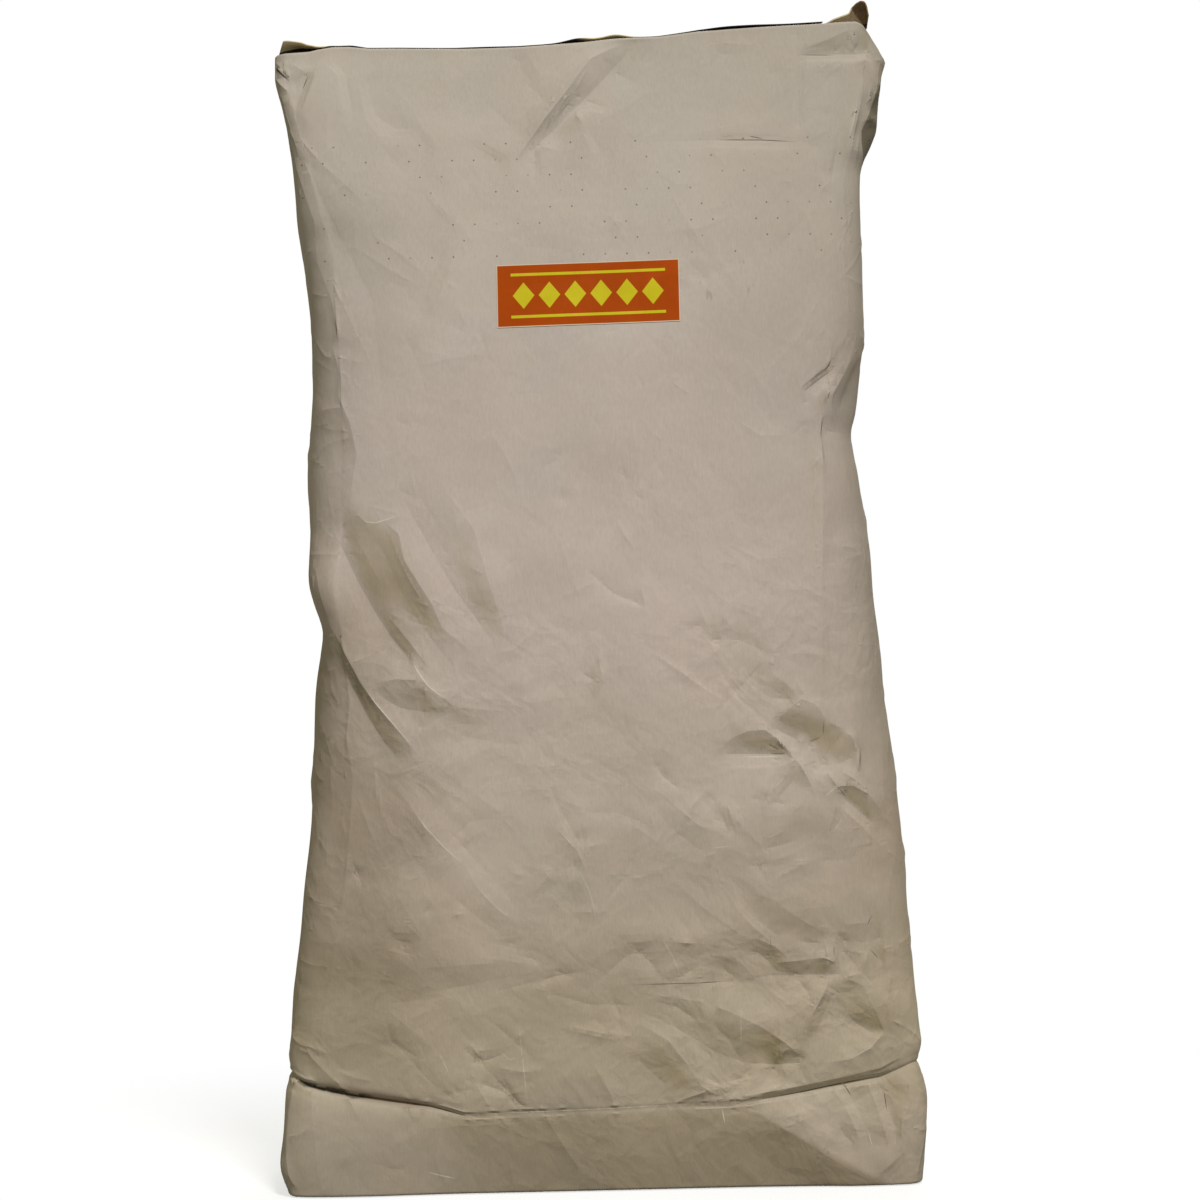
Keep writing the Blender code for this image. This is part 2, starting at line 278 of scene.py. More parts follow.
MIDDLE_RIGHT_FOLDS = (
    (
        (716, 754, 0), (732, 738, 1.2), (748, 731, 2.0), (765, 730, 2.0), (778, 739, 1.6),
        (790, 752, 0.4),
    ),
    ((724, 754, -0.6), (745, 754.5, -2.5), (770, 754.5, -2.8), (785, 754.5, -1.2)),
    ((720, 768, 0.0), (750, 769, 0.0), (775, 768, 0.1), (792, 762, 0.5)),
    ((774, 675, 1.0), (792, 689, 0.8)),
    ((755, 688, -0.3), (772, 698, -1.0), (788, 699, -0.6)),
    ((775, 716, 0.8), (789, 708, 2.2), (801, 699, 2.0), (815, 704, 2.0), (824, 717, 1.6)),
    ((777, 729, -1.4), (792, 737, -2.6), (806, 744, -3.2), (813, 747, -3.0)),
    ((824, 722, 0.6), (823, 737, -1.6), (812, 744, -3.1)),
    ((828, 722, 0.8), (840, 728, 1.8), (851, 737, 2.0), (855, 750, 1.0)),
    ((817, 751, -2.8), (822, 765, -2.8), (838, 764, -1.6), (850, 758, -0.8)),
    ((779, 742, 0.9), (790, 754, 1.2), (800, 764, 1.2), (808, 779, 1.0), (816, 797, 0.4)),
    ((828, 774, 0.4), (836, 786, 1.8)),
    (
        (840, 786, 1.8), (852, 786, 1.6), (867, 794, 2.0), (881, 811, 2.0), (896, 831, 1.2),
        (903, 841, 0.4),
    ),
    (
        (824, 798, 0), (835, 788.5, 0.4), (846, 800, -2.8), (862, 813, -3.0), (878, 827, -2.6),
        (893, 841, -1.0),
    ),
    ((846, 812, 0.0), (864, 828, 0.4), (880, 844, 0.4)),
    ((842, 806, -0.8), (842, 818, -0.6), (834, 832, 0.2)),
    ((835, 808, 0.6), (830, 828, 0.7)),
    ((772, 790, 0.6), (786, 775, 0.6)),
    ((780, 796, -0.6), (794, 780, -0.5)),
    ((798, 808, 0.5), (811, 790, 0.5)),
    ((655, 788, 0.5), (680, 810, 0.9), (700, 826, 0.9), (728, 836, 0.8)),
    ((652, 806, -0.4), (676, 832, -0.6), (700, 850, -0.4)),
    ((729, 808, 0.5), (734, 833, 0.3)),
    ((722, 812, -0.6), (727, 830, -0.6)),
    ((705, 856, 0.5), (731, 849, 0.9), (757, 858, 0.4)),
    ((766, 838, 0.4), (780, 833, 0.5)),
    ((765, 864, 0.8), (782, 858, 1.0), (800, 850, 0.9), (818, 838, 0.3)),
    ((770, 848, -0.8), (792, 842, -0.7)),
    ((870, 686, 0), (872, 720, -1.6), (867, 762, -1.6), (870, 786, -0.4)),
    ((862, 690, 0.4), (862, 730, 0.8), (857, 770, 0.6)),
    ((882, 720, 0.6), (882, 780, 0.4)),
    ((890, 853, 1.0), (899, 860, 0.6)),
    ((884, 872, -1.0), (893, 888, -0.9)),
)
LOWER_RIGHT_FOLDS = (
    ((734, 905, 0.9), (750, 923, 1.4), (770, 941, 1.1)),
    ((738, 901, -0.4), (754, 918, -0.7), (776, 934, -1.0), (800, 942, -1.1), (816, 943, -0.8)),
    ((754, 893, 0.6), (775, 900, 1.0), (791, 913, 1.0), (812, 926, 0.9), (836, 928, 0.6)),
    ((806, 908, 1.0), (832, 906, 0.9)),
    ((846, 924, 0.9), (876, 922, 0.9)),
    ((846, 941, -1.1), (866, 943, -0.9), (880, 938, -0.2)),
    ((778, 963, 0.6), (800, 960, 1.4), (824, 957, 1.8), (833, 961, 1.5)),
    ((826, 936, -0.6), (835.5, 942, 0.4), (834.5, 961, 1.2)),
    ((839, 942, -1.2), (839, 962, -0.8)),
    ((848, 976, 1.3), (863, 972, 1.3), (866, 958, 1.0), (870, 948, 0.4)),
    ((873, 950, -0.4), (882, 961, -0.2)),
    (
        (628, 942, 0.6), (665, 941, 0.7), (700, 944, 0.7), (722, 946, 0.9), (739, 961, 0.9),
        (752, 975, 0.5),
    ),
    (
        (628, 954, -1.1), (670, 954, -1.1), (705, 956, -1.1), (719, 961, -1.3), (728, 973, -1.3),
        (742, 983, -0.9),
    ),
    ((730, 938, 0.6), (758, 939, 1.0), (775, 946, 1.2), (786, 956, 1.1)),
    ((734, 951, -0.8), (757, 952, -1.2), (768, 961, -1.4), (778, 972, -1.4), (802, 975, -0.9)),
    (
        (628, 986, -0.7), (700, 984, -0.7), (735, 982, -0.9), (770, 977, -1.3), (802, 976, -1.1),
        (840, 974, -0.6),
    ),
    ((630, 978, 0.3), (700, 977, 0.3)),
    (
        (650, 993, 0.2), (665, 997, 0.5), (700, 1001, 1.0), (730, 1011, 1.6), (760, 1025, 2.0),
        (785, 1041, 2.6), (803, 1058, 1.2),
    ),
    (
        (640, 1012, -0.3), (660, 1020, -0.6), (690, 1036, -1.1), (715, 1052, -1.6), (745, 1064, -1.9),
        (775, 1065, -1.6), (797, 1063, -0.8),
    ),
    ((829, 981, 0.2), (822, 995, 1.8), (812, 1014, 2.0), (808, 1042, 1.0)),
    ((833, 996, -0.9), (824, 1014, -1.2), (818, 1030, -0.2)),
    ((844, 977, 0.9), (862, 985, 1.0), (875, 1010, 1.2), (884, 1031, 1.1)),
    ((840, 1004, -0.9), (856, 1024, -1.4), (872, 1033, -0.8)),
    ((882, 1034, 1.6), (868, 1048, 2.6), (850, 1058, 2.8), (825, 1062, 2.2)),
    (
        (745, 1096, 0.6), (766, 1092, 1.2), (800, 1086, 1.6), (843, 1077, 2.0), (880, 1068, 1.6),
        (898, 1058, 0.6),
    ),
    ((740, 1103, 0), (766, 1099, 0), (805, 1091, 0), (843, 1083, 0), (882, 1076, 0)),
    ((640, 1024, 0.4), (668, 1040, 1.7), (686, 1062, 2.0), (701, 1085, 1.6), (720, 1098, 0.4)),
    ((640, 1062, -1.3), (664, 1084, -1.3)),
    ((658, 936, 0.5), (672, 955, -0.4), (683, 980, 0.1)),
    (
        (880, 800, 0), (896, 850, 1.0), (888, 900, 2.0), (893, 950, 2.2), (886, 1000, 2.0),
        (892, 1036, 0.8),
    ),
)
UPPER_FOLDS = (
    (
        (640, 40, 1.4), (614, 48, 3.2), (590, 60, 4.6), (568, 90, 4.4), (543, 122, 3.2),
        (526, 146, 1.6), (510, 169, 0.2),
    ),
    ((630, 50, -1.0), (606, 76, -3.8), (578, 105, -4.4), (551, 132, -3.2), (531, 151, -1.6)),
    ((588, 44, 0), (552, 75, 0.2), (525, 110, 0.3), (505, 140, 0.3)),
    ((478, 140, 0.8), (504, 154, 0.9)),
    ((476, 147, -0.6), (500, 162, -0.6)),
    ((540, 146, 0.2), (562, 151, -0.5), (582, 149, -0.2)),
    ((576, 114, 0.3), (592, 138, -0.6), (601, 152, -0.6), (609, 185, -0.2)),
    ((585, 136, 0.6), (593, 152, 0.5)),
    ((359, 88, 0.6), (366, 120, 0.8), (378, 136, 0.8), (418, 138, 0.6)),
    ((368, 90, -1.2), (376, 116, -1.6), (396, 129, -1.8), (416, 128, -1.0)),
    ((442, 54, 0.7), (441, 84, 0.8), (424, 116, 0.6)),
    ((434, 58, -0.5), (432, 84, -0.5)),
    ((418, 122, 1.4), (421, 129, 1.2), (435, 144, 1.2), (432, 162, 0.8), (428, 182, 0.2)),
    ((414, 130, -0.9), (426, 146, -1.2), (424, 166, -0.6)),
    ((506, 56, 0.2), (513, 58, -0.7), (521, 62, -0.8), (524, 56, 0.2)),
    ((527, 53, 0.7), (535, 68, 0.6), (543, 80, 0.3)),
    ((520, 68, -0.4), (530, 80, -0.4)),
    (
        (600, 136, 0.2), (650, 136, 0.2), (712, 136, 0.4), (736, 134, 0.5), (766, 136, 0.4),
        (800, 138, 0.2),
    ),
    (
        (610, 142, -0.3), (660, 142, -0.3), (712, 140, -0.7), (736, 140.5, -0.8), (764, 140.5, -0.8),
        (800, 142, -0.4),
    ),
    ((620, 149, 0.2), (712, 147, 0.5), (760, 148, 0.5), (798, 149, 0.2)),
    ((793, 30, 0.4), (793, 80, 0.4), (794, 128, 0.4)),
    ((797.5, 34, -0.6), (798, 84, -0.7), (799, 128, -0.6)),
    ((803, 66, 0.3), (803, 128, 0.3)),
    ((863, 70, 0.3), (861, 100, 0.7), (853, 140, 0.7), (842, 188, 0.5)),
    ((838, 80, -0.6), (838, 140, -0.8), (830, 188, -0.4)),
    ((478, 203, 0.2), (461, 238, 1.2), (449, 270, 1.7), (438, 300, 1.6), (420, 334, 0.4)),
    ((468, 205, -0.3), (448, 236, -1.4), (436, 268, -1.8), (424, 298, -1.6), (410, 328, -0.4)),
)
CORNER_FOLDS = (
    ((274, 60, 0.8), (280, 67, 0.8), (288, 76, 0.8)),
    ((275, 66, -1.0), (281, 73, -2.6), (287, 79, -0.6)),
    ((272, 74, 1.0), (280, 84, 1.0), (286, 90, 0.4)),
    ((294, 65, 0.6), (302, 70, 1.2), (308, 73, 0.8)),
    ((309, 72, 0.6), (318, 66, 1.0), (328, 60, 0.6)),
    ((306, 66, -0.4), (314, 63, -0.8), (324, 58, -0.2)),
    ((302, 73, -0.4), (307.5, 76.5, -2.0), (303, 88, -1.8), (298, 100, -1.2), (295, 114, -0.4)),
    ((314, 74, 0.6), (309, 90, 1.0), (303, 108, 0.8)),
    ((322, 62, 0.6), (337, 74, 1.2), (343, 112, 0.8)),
    ((330, 62, 0.2), (346, 74, -1.0), (352, 112, -1.0), (350, 130, -0.2)),
)
BAND_FOLDS = (
    ((310, 1092, 0.2), (312, 1112, 0.6), (316, 1152, 0.8), (318, 1176, 0.6), (322, 1190, 0.2)),
    ((292, 1085, -0.8), (287, 1112, -1.4), (285, 1152, -1.8), (288, 1176, -1.6), (296, 1190, -0.9)),
    ((468, 1120, 0.9), (478, 1134, 0.9), (486, 1150, 0.2)),
    ((444, 1119, -0.9), (456, 1135, -0.9), (470, 1152, -0.2)),
    (
        (748, 1107, 0), (770, 1120, 1.4), (795, 1135, 2.4), (825, 1154, 2.8), (850, 1170, 2.2),
        (868, 1179, 1.0),
    ),
    ((700, 1122, 0), (740, 1146, -0.6), (780, 1170, -1.2), (820, 1185, -1.2)),
    ((832, 1088, 0.6), (845, 1106, 1.6), (855, 1128, 1.4), (862, 1148, 1.0)),
    ((843, 1087, -0.6), (851, 1098, -0.9), (862, 1122, -0.2), (869, 1142, -0.2)),
    ((868, 1085, 0.8), (876, 1104, 1.4), (884, 1128, 1.6), (889, 1148, 0.8)),
    ((880, 1084, -1.4), (887, 1104, -2.4), (894, 1124, -1.8), (896, 1144, -0.4)),
    ((908, 1088, 0.6), (909, 1104, 0.8), (903, 1116, 1.2), (900, 1134, 0.8)),
    ((877, 1178, 0), (890, 1165, 2.0), (903, 1153, 0.8)),
    ((884, 1181, -1.0), (897, 1172, -1.0), (907, 1158, -0.2)),
    ((838, 1124, 0.2), (845, 1136, -0.9), (852, 1142, -0.2)),
)
AWNING_FOLDS = (
    ((798, 51, 0.5), (830, 39, 1.2), (848, 30, 1.6), (862, 26, 1.6)),
    ((799, 54, -1.2), (830, 54, -3.6), (856, 54, -4.0), (878, 53, -2.4)),
    ((834, 52, -1.6), (844, 42, -0.4), (852, 52, -2.0)),
    ((801, 61, 0.2), (830, 61, 0.4), (856, 61, 0.5), (882, 60, 0.2)),
)
UPPER_RIGHT_FOLDS = (
    ((802, 386, 0.5), (816, 375, 0.8), (827, 367, 1.0), (840, 345, 1.4), (847, 332, 0.6)),
    ((806, 390, -1.0), (819, 380, -2.6), (831, 372, -2.6), (843, 352, -2.2), (851, 336, -0.6)),
    ((790, 410, -0.4), (806, 402, -0.6)),
    ((816, 396, 1.0), (828, 384, 1.6), (843, 362, 1.8)),
    (
        (854, 341, 1.2), (848, 362, 3.0), (838, 382, 4.2), (831, 394, 4.4), (831, 412, 2.6),
        (835, 429, 0.4),
    ),
    ((861, 352, -1.0), (853, 378, -4.0), (846, 400, -5.0), (844, 414, -3.2), (848, 430, -0.5)),
    (
        (820, 416, 1.2), (820.5, 437, 2.2), (821, 465, 2.2), (822, 520, 1.8), (822, 600, 1.2),
        (822, 700, 0.4),
    ),
    ((826, 431, -1.2), (840, 433, -1.6)),
    ((840, 442, 0.8), (846, 480, 0.6)),
    ((806, 440, 0), (806, 520, 0), (806, 600, 0)),
    ((838, 520, -0.6), (842, 600, -0.6), (846, 680, -0.2)),
)
POCKET_FOLDS = (
    ((881, 88, 0), (880.5, 100, -1.5), (879, 114, -2.0), (877, 128, -2.0), (873, 142, -1.0)),
    ((879, 92, -2.5), (875.5, 105, -5.0), (872, 117, -5.5)),
    ((868, 121, -4.0), (873, 119.5, 0.5), (878.5, 116, 1.0)),
    ((866, 124, -5.5), (866, 134, -6.0), (867, 148, -4.5), (864, 160, -1.0)),
    ((873, 126, -3.0), (871, 138, -2.0), (868, 152, -1.5)),
)
# How many times deeper than listed each group lies, as the photograph's shading asks.
FOLD_GROUPS = (
    (0.8, LEFT_SIDE_FOLDS), (1.2, ELBOW_FOLDS), (0.95, LOWER_LEFT_FOLDS),
    (1.5, MIDDLE_RIGHT_FOLDS), (1.6, LOWER_RIGHT_FOLDS), (1.0, UPPER_FOLDS),
    (1.15, AWNING_FOLDS), (1.2, UPPER_RIGHT_FOLDS), (1.2, CORNER_FOLDS), (1.2, BAND_FOLDS),
    (1.0, POCKET_FOLDS),
)

# The front panel's edge over the folded pocket at the top right, and the crease along it:
# its height and the reach of its outer and inner flanks, in metres.
POCKET_EDGE = (
    (881, 78), (878, 85), (874, 97), (869, 112), (861, 130), (861, 142), (863, 157), (862, 166),
)
POCKET_CREASE = (0.0025, 0.002, 0.010)

# Pale lines painted as highlights along fold edges, partly wear, and dark hairlines painted as shade in
# creases, on the front, as lines of pixels.
HIGHLIGHT_LINES = (
    ((358, 515), (366, 522), (376, 523), (400, 515)),
    ((410, 656), (417, 670), (428, 686), (448, 701)),
    ((362, 684), (375, 702), (390, 720), (405, 738), (420, 757)),
    ((412, 808), (426, 828), (446, 849), (466, 867)),
    ((476, 886), (498, 909), (513, 920)),
    ((438, 1050), (450, 1076)),
    ((518, 1016), (522, 1055), (528, 1106)),
    ((498, 1050), (510, 1060), (520, 1057)),
    ((466, 1115), (528, 1112), (600, 1109), (660, 1106), (700, 1104)),
    ((775, 716), (782, 714), (789, 709)),
    ((740, 757), (765, 757), (785, 756)),
    ((824, 797), (836, 787)),
    ((842, 818), (834, 831)),
    ((773, 790), (786, 775)),
    ((712, 848), (731, 846)),
    ((766, 838), (780, 833)),
    ((826, 990), (812, 1013)),
    ((881, 1035), (870, 1048), (850, 1059)),
    ((788, 1058), (799, 1059)),
    ((660, 935), (672, 955), (683, 982)),
    ((741, 1002), (741, 1050)),
    ((735, 983), (770, 976), (838, 974)),
    ((560, 832), (577, 850)),
    ((578, 868), (590, 892), (598, 925)),
    ((274, 61.5), (280, 68), (288, 76)),
    ((881, 78), (878, 85), (874, 97), (869, 112)),
    ((868, 1130), (872, 1146)),
    ((722, 1108), (725, 1124)),
    ((425, 1172), (440, 1176), (458, 1180)),
)
# Painted near-black shadow in the nick at the top left corner, as a line of pixels.
NICK_SHADOW_LINES = (
    ((272, 64), (278, 70.5), (284, 76.5), (289, 80)),
)
# Painted black shadow in the groove under the belly at the left, as lines of pixels.
GAP_SHADOW_LINES = (
    ((287, 1075), (304, 1085), (313, 1086.5), (322, 1089.5), (333, 1090.5), (343, 1094), (356, 1095.5)),
    ((318, 1087), (330, 1091.5), (341, 1092), (352, 1096.8), (366, 1096.6), (380, 1099.6)),
)
# Soft brown painted shade along the left of the groove under the belly, as a line of pixels.
GROOVE_SHADE_LINES = (
    ((296, 1082), (330, 1089), (370, 1097), (410, 1103), (448, 1111)),
)
# Dark hairlines painted as shade in creases, as lines of pixels.
CREASE_SHADE_LINES = (
    ((756, 1101), (780, 1096.5), (805, 1091.5), (843, 1083.5), (884, 1076)),
    ((366, 1097.5), (392, 1101), (425, 1106), (440, 1109)),
    ((400, 1103), (430, 1107), (465, 1116)),
    ((869, 119), (874, 118), (879, 120)),
    ((808, 388), (819, 379), (830, 371)),
    ((838, 787), (847, 798)),
    ((808, 742), (822, 737)),
    ((824, 720), (823, 736)),
    ((770, 754), (786, 754)),
    ((834, 943), (834, 958)),
    ((870, 949), (879, 959)),
    ((872, 915), (867, 926)),
    ((718, 137), (734, 136)),
    ((748, 136), (764, 139)),
    ((712, 140), (760, 140), (799, 142)),
    ((796, 55), (836, 55)),
    ((308, 75), (302, 90)),
    ((630, 985), (700, 983), (734, 981)),
    ((770, 935), (771, 950)),
    ((843, 1083), (852, 1097)),
    ((884, 1090), (887, 1112)),
)


# Creases

FOLD_RADIUS = 0.0012

# The creases strewn over the paper, as how many, and then from what to what their length,
# their slope and the reach of their flanks go. The waves: how many, their length and height.
CREASE_SEED = 8
LARGE_CREASES = (130, (0.07, 0.20), (0.05, 0.15), (0.012, 0.040))
SMALL_CREASES = (1100, (0.015, 0.08), (0.08, 0.30), (0.004, 0.013))
WAVES = (8, (0.07, 0.22), (0.0003, 0.0009))
CREASING = 0.55  # how much of their height the strewn creases and waves have
ELBOW_AT, ELBOW_REACH = (-0.130, 0.470), 0.100

# How much less the strewn creases are at the elbow, on the front and further up on it, and
# the large ones on the front.
ELBOW_CALM, FRONT_CALM, UPPER_CALM, LARGE_CALM = 0.85, 0.25, 0.45, 0.55

# Where the front's folds are sharp, as x, z and reach. Elsewhere they are soft undulations.
SHARP_PLACES = (
    (0.155, 0.335, 0.075), (0.195, 0.635, 0.050), (0.215, 0.880, 0.065), (-0.235, 0.885, 0.045),
    (-0.215, 0.665, 0.050), (0.220, 0.830, 0.050), (-0.020, 0.865, 0.055), (0.120, 0.845, 0.045),
    (0.215, 0.035, 0.035), (-0.140, 0.400, 0.035), (0.180, 0.150, 0.060),
)

# Points of no height, in pixels: their step, how far from any line, and from where to where.
CALM_STEP, CALM_AWAY = 26, 24
CALM_ACROSS, CALM_DOWN = (230, 971), (-20, 1221)
LINE_REACH, POCKET_REACH = 0.008, 0.022

# The pinch under the belly, in metres: its depth in the middle, what the left and the right
# add to it, and the reach of its flanks above and below.
GROOVE_DEPTH, GROOVE_LEFT, GROOVE_RIGHT = 0.0012, 0.0044, 0.0016
GROOVE_ABOVE, GROOVE_BELOW = 0.0024, 0.0034

# The glued lap down the back: where its two edges climb, and how thick it is.
SEAM_STARTS, SEAM_ENDS, SEAM_THICK = (0.041, 0.043), (0.074, 0.076), 0.0009


def along_path(u, v, points):
    """For each place: distance to the path, side of it, and share of the way along it.

    Each straight stretch gives its nearest point, and the nearest of all is kept. The
    side is the sign of the cross product of the stretch and the way to the place.
    """
    points = np.array(points, float)
    steps = np.diff(points, axis=0)
    lengths = np.hypot(*steps.T)
    starts = np.concatenate([[0], np.cumsum(lengths)[:-1]])
    best = np.full(u.shape, np.inf)
    side = np.ones(u.shape)
    share = np.zeros(u.shape)
    for point, step, length, start in zip(points, steps, lengths, starts):
        to_u, to_v = u - point[0], v - point[1]
        t = np.clip((to_u * step[0] + to_v * step[1]) / length**2, 0, 1)
        distance = np.hypot(to_u - t * step[0], to_v - t * step[1])
        nearer = distance < best
        best = np.where(nearer, distance, best)
        side = np.where(nearer, np.sign(step[0] * to_v - step[1] * to_u), side)
        share = np.where(nearer, (start + t * length) / lengths.sum(), share)
    return best, side, share


def crease(u, v, points, height, left, right):
    """Height of one crease: greatest on its line, fading along both flanks and at both ends.

    Across the line it is a little over half a roof, whose flat flanks end at one and a half
    times the reach, and for the rest e to the power of minus distance over reach. The
    distance is blunted so that the line is a rounded fold and not a knife's edge. Along it,
    it fades over the first and last fifth.
    """
    lift = np.zeros(u.shape)
    points = np.array(points, float)
    margin = 5 * max(left, right)
    low, high = points.min(0) - margin, points.max(0) + margin
    near = (u > low[0]) & (u < high[0]) & (v > low[1]) & (v < high[1])
    distance, side, share = along_path(u[near], v[near], points)
    flank = right + (left - right) * (0.5 + 0.5 * np.tanh(side * distance / FOLD_RADIUS))
    blunt = np.sqrt(distance**2 + FOLD_RADIUS**2) - FOLD_RADIUS
    fade = smooth_step(share, 0, 0.2) * smooth_step(1 - share, 0, 0.2)
    roof = np.maximum(1 - blunt / (1.5 * flank), 0)
    lift[near] = height * fade * (0.45 * np.exp(-blunt / flank) + 0.55 * roof)
    return lift


def folded_faces(x, z):
    """Height of the folded front: flat triangles stretched between the listed lines.

    The lines are the edges of one triangulation, with points of no height strewn over the
    calm paper between them, and inside each triangle the height is the mean of its three
    corners' heights, weighed by the opposite areas.
    """
    lines = [np.array(line) * (1, 1, depth) for depth, group in FOLD_GROUPS for line in group]
    marks = np.concatenate(lines)
    ends = np.cumsum([len(line) for line in lines])
    pairs = [(k, k + 1) for k in range(len(marks) - 1) if k + 1 not in ends]
    across, down = np.meshgrid(*[np.arange(*ends, CALM_STEP) for ends in (CALM_ACROSS, CALM_DOWN)])
    calm = np.stack([across.ravel(), down.ravel()], axis=1).astype(float)
    apart = np.hypot(*(calm[:, None, :] - marks[None, :, :2]).transpose(2, 0, 1)).min(1)
    calm = calm[apart > CALM_AWAY]
    places = on_front(np.concatenate([marks[:, :2], calm]))
    heights = np.concatenate([marks[:, 2], np.zeros(len(calm))]) / 1000
    corners, _, triangles, sources, *_ = delaunay_2d_cdt(
        [Vector(place) for place in places.tolist()], pairs, [], 0, 1e-5
    )
    corners = np.array([tuple(corner) for corner in corners])
    nearest = [source[0] if source else -1 for source in sources]
    high = np.where(np.array(nearest) >= 0, heights[nearest], 0.0)
    lift = np.zeros(x.shape)
    for a, b, c in triangles:
        (ax, az), (bx, bz), (cx, cz) = corners[a], corners[b], corners[c]
        whole = (bx - ax) * (cz - az) - (cx - ax) * (bz - az)
        if abs(whole) < 1e-12:
            continue
        to_b = ((bx - x) * (cz - z) - (cx - x) * (bz - z)) / whole
        to_c = ((cx - x) * (az - z) - (ax - x) * (cz - z)) / whole
        to_a = 1 - to_b - to_c
        inside = (to_a >= -1e-9) & (to_b >= -1e-9) & (to_c >= -1e-9)
        lift[inside] = (high[a] * to_b + high[b] * to_c + high[c] * to_a)[inside]
    return lift


def blurred(grid, passes):
    """Each value mixed with its neighbours, half and half, round the ring and up the rows."""
    for _ in range(passes):
        grid = grid / 2 + (np.roll(grid, 1, axis=1) + np.roll(grid, -1, axis=1)) / 4
        above = np.concatenate([grid[1:], grid[-1:]])
        below = np.concatenate([grid[:1], grid[:-1]])
        grid = grid / 2 + (above + below) / 4
    return grid


def face_corners(grid):
    """The grid's values at the four corners of each face, closed round the columns."""
    ahead = np.roll(grid, -1, axis=1)
    return np.stack([grid[:-1], ahead[:-1], ahead[1:], grid[1:]], axis=2)


def nearest_line(u, v, lines, reach_out=LINE_REACH):
    """For each face, the signed distance of its corners to the line nearest its middle.

    Also how far from the line's ends each corner meets it: 0 at both ends and 1 between.
    A face past the ends of a line isn't counted as near it.
    """
    middle_u, middle_v = u.mean(2), v.mean(2)
    nearest = np.full(middle_u.shape, reach_out)
    signed = np.full(u.shape, reach_out)
    inner = np.zeros(u.shape)
    for line in lines:
        low, high = np.min(line, axis=0) - reach_out, np.max(line, axis=0) + reach_out
        near = (middle_u > low[0]) & (middle_u < high[0])
        near &= (middle_v > low[1]) & (middle_v < high[1])
        distance, side, share = along_path(u[near], v[near], line)
        away = side * distance
        on_it = (share.mean(1) > 0.001) & (share.mean(1) < 0.999)
        nearer = on_it & (np.abs(away.mean(1)) < nearest[near])
        chosen = np.flatnonzero(near.ravel())[nearer]
        nearest.ravel()[chosen] = np.abs(away.mean(1))[nearer]
        signed.reshape(-1, 4)[chosen] = away[nearer]
        inner.reshape(-1, 4)[chosen] = np.clip(4 * np.minimum(share, 1 - share), 0, 1)[nearer]
    return nearest, signed, inner


def random_creases(u, v, draws, count, length, slope, flank):
    """Many small roofs strewn over the unrolled paper, as crumpled paper has.

    Each has a straight ridge or valley with a kink in it, falls away evenly over its two
    flanks, and narrows evenly to both ends, so its faces are flat. The paper is closed
    round, so a roof that runs off one end comes in at the other. The second value lists
    the ridge and valley lines.
    """
    lift = np.zeros(u.shape)
    lines = []
    width, tall = np.ptp(u), np.ptp(v)
    for _ in range(count):
        middle = np.array([u.min() + draws.random() * width, v.min() + draws.random() * tall])
        angle = draws.uniform(0, math.pi)
        long = draws.uniform(*length)
        bend = draws.normal(0, 0.3)
        first = middle + long / 2 * np.array([math.cos(angle), math.sin(angle)])
        second = middle - long / 2 * np.array([math.cos(angle + bend), math.sin(angle + bend)])
        left, right = draws.uniform(*flank, size=2)
        high = draws.uniform(*slope) * min(left, right) * draws.choice([-1, 1])
        box = long / 2 + max(left, right)
        for shift in (-width, 0, width):
            line = np.array([first, middle, second]) + (shift, 0)
            if line[:, 0].max() < u.min() - box or line[:, 0].min() > u.max() + box:
                continue
            near = (np.abs(u - middle[0] - shift) < box) & (np.abs(v - middle[1]) < box)
            distance, side, share = along_path(u[near], v[near], line)
            blunt = np.sqrt(distance**2 + FOLD_RADIUS**2) - FOLD_RADIUS
            ends = 1 - np.abs(2 * share - 1)
            reach_here = np.where(side > 0, left, right)
            lift[near] += high * np.maximum(ends - blunt / reach_here, 0)
            lines.append(line)
    return lift, lines


def slow_waves(u, v, draws, count, length, height):
    """A few long sine waves across the paper in random directions."""
    lift = np.zeros(u.shape)
    for _ in range(count):
        angle = draws.uniform(0, 2 * math.pi)
        turns = 2 * math.pi / draws.uniform(*length)
        way = math.cos(angle) * u + math.sin(angle) * v
        lift += draws.uniform(*height) * np.sin(turns * way + draws.uniform(0, 2 * math.pi))
    return lift


# The sack


def ring():
    """Across and deep of each column, once round a square whose sides are at 1 and -1."""
    front, side, back = spread(FRONT_SPREAD), spread(SIDE_SPREAD), spread(BACK_SPREAD)
    across = np.concatenate([front, np.ones(len(side)), -back, -np.ones(len(side))])
    deep = np.concatenate([-np.ones(len(front)), side, np.ones(len(back)), -side])
    return across, deep


def spread(spans):
    """Even steps inside each (from, to, how many) span, without the last span's end."""
    return np.concatenate([np.linspace(*span, endpoint=False) for span in spans])


def row_heights():
    """Height of each row of the walls above the foot."""
    return np.concatenate([spread(ROW_SPREAD), [TOP]])


def end_drop(x):
    """How far the top face has dropped at x, near either end."""
    right = np.interp(x, *np.array(RIGHT_DROP).T)
    left = LEFT_DROP[1] * smooth_step(-x, LEFT_DROP[0], HALF_WIDTH)
    return right + left


def bottom_line(x):
    """Height of the crease above the block bottom at x, from the photograph's line."""
    line = on_front(BOTTOM_LINE_PX)
    return np.interp(x, *line.T)


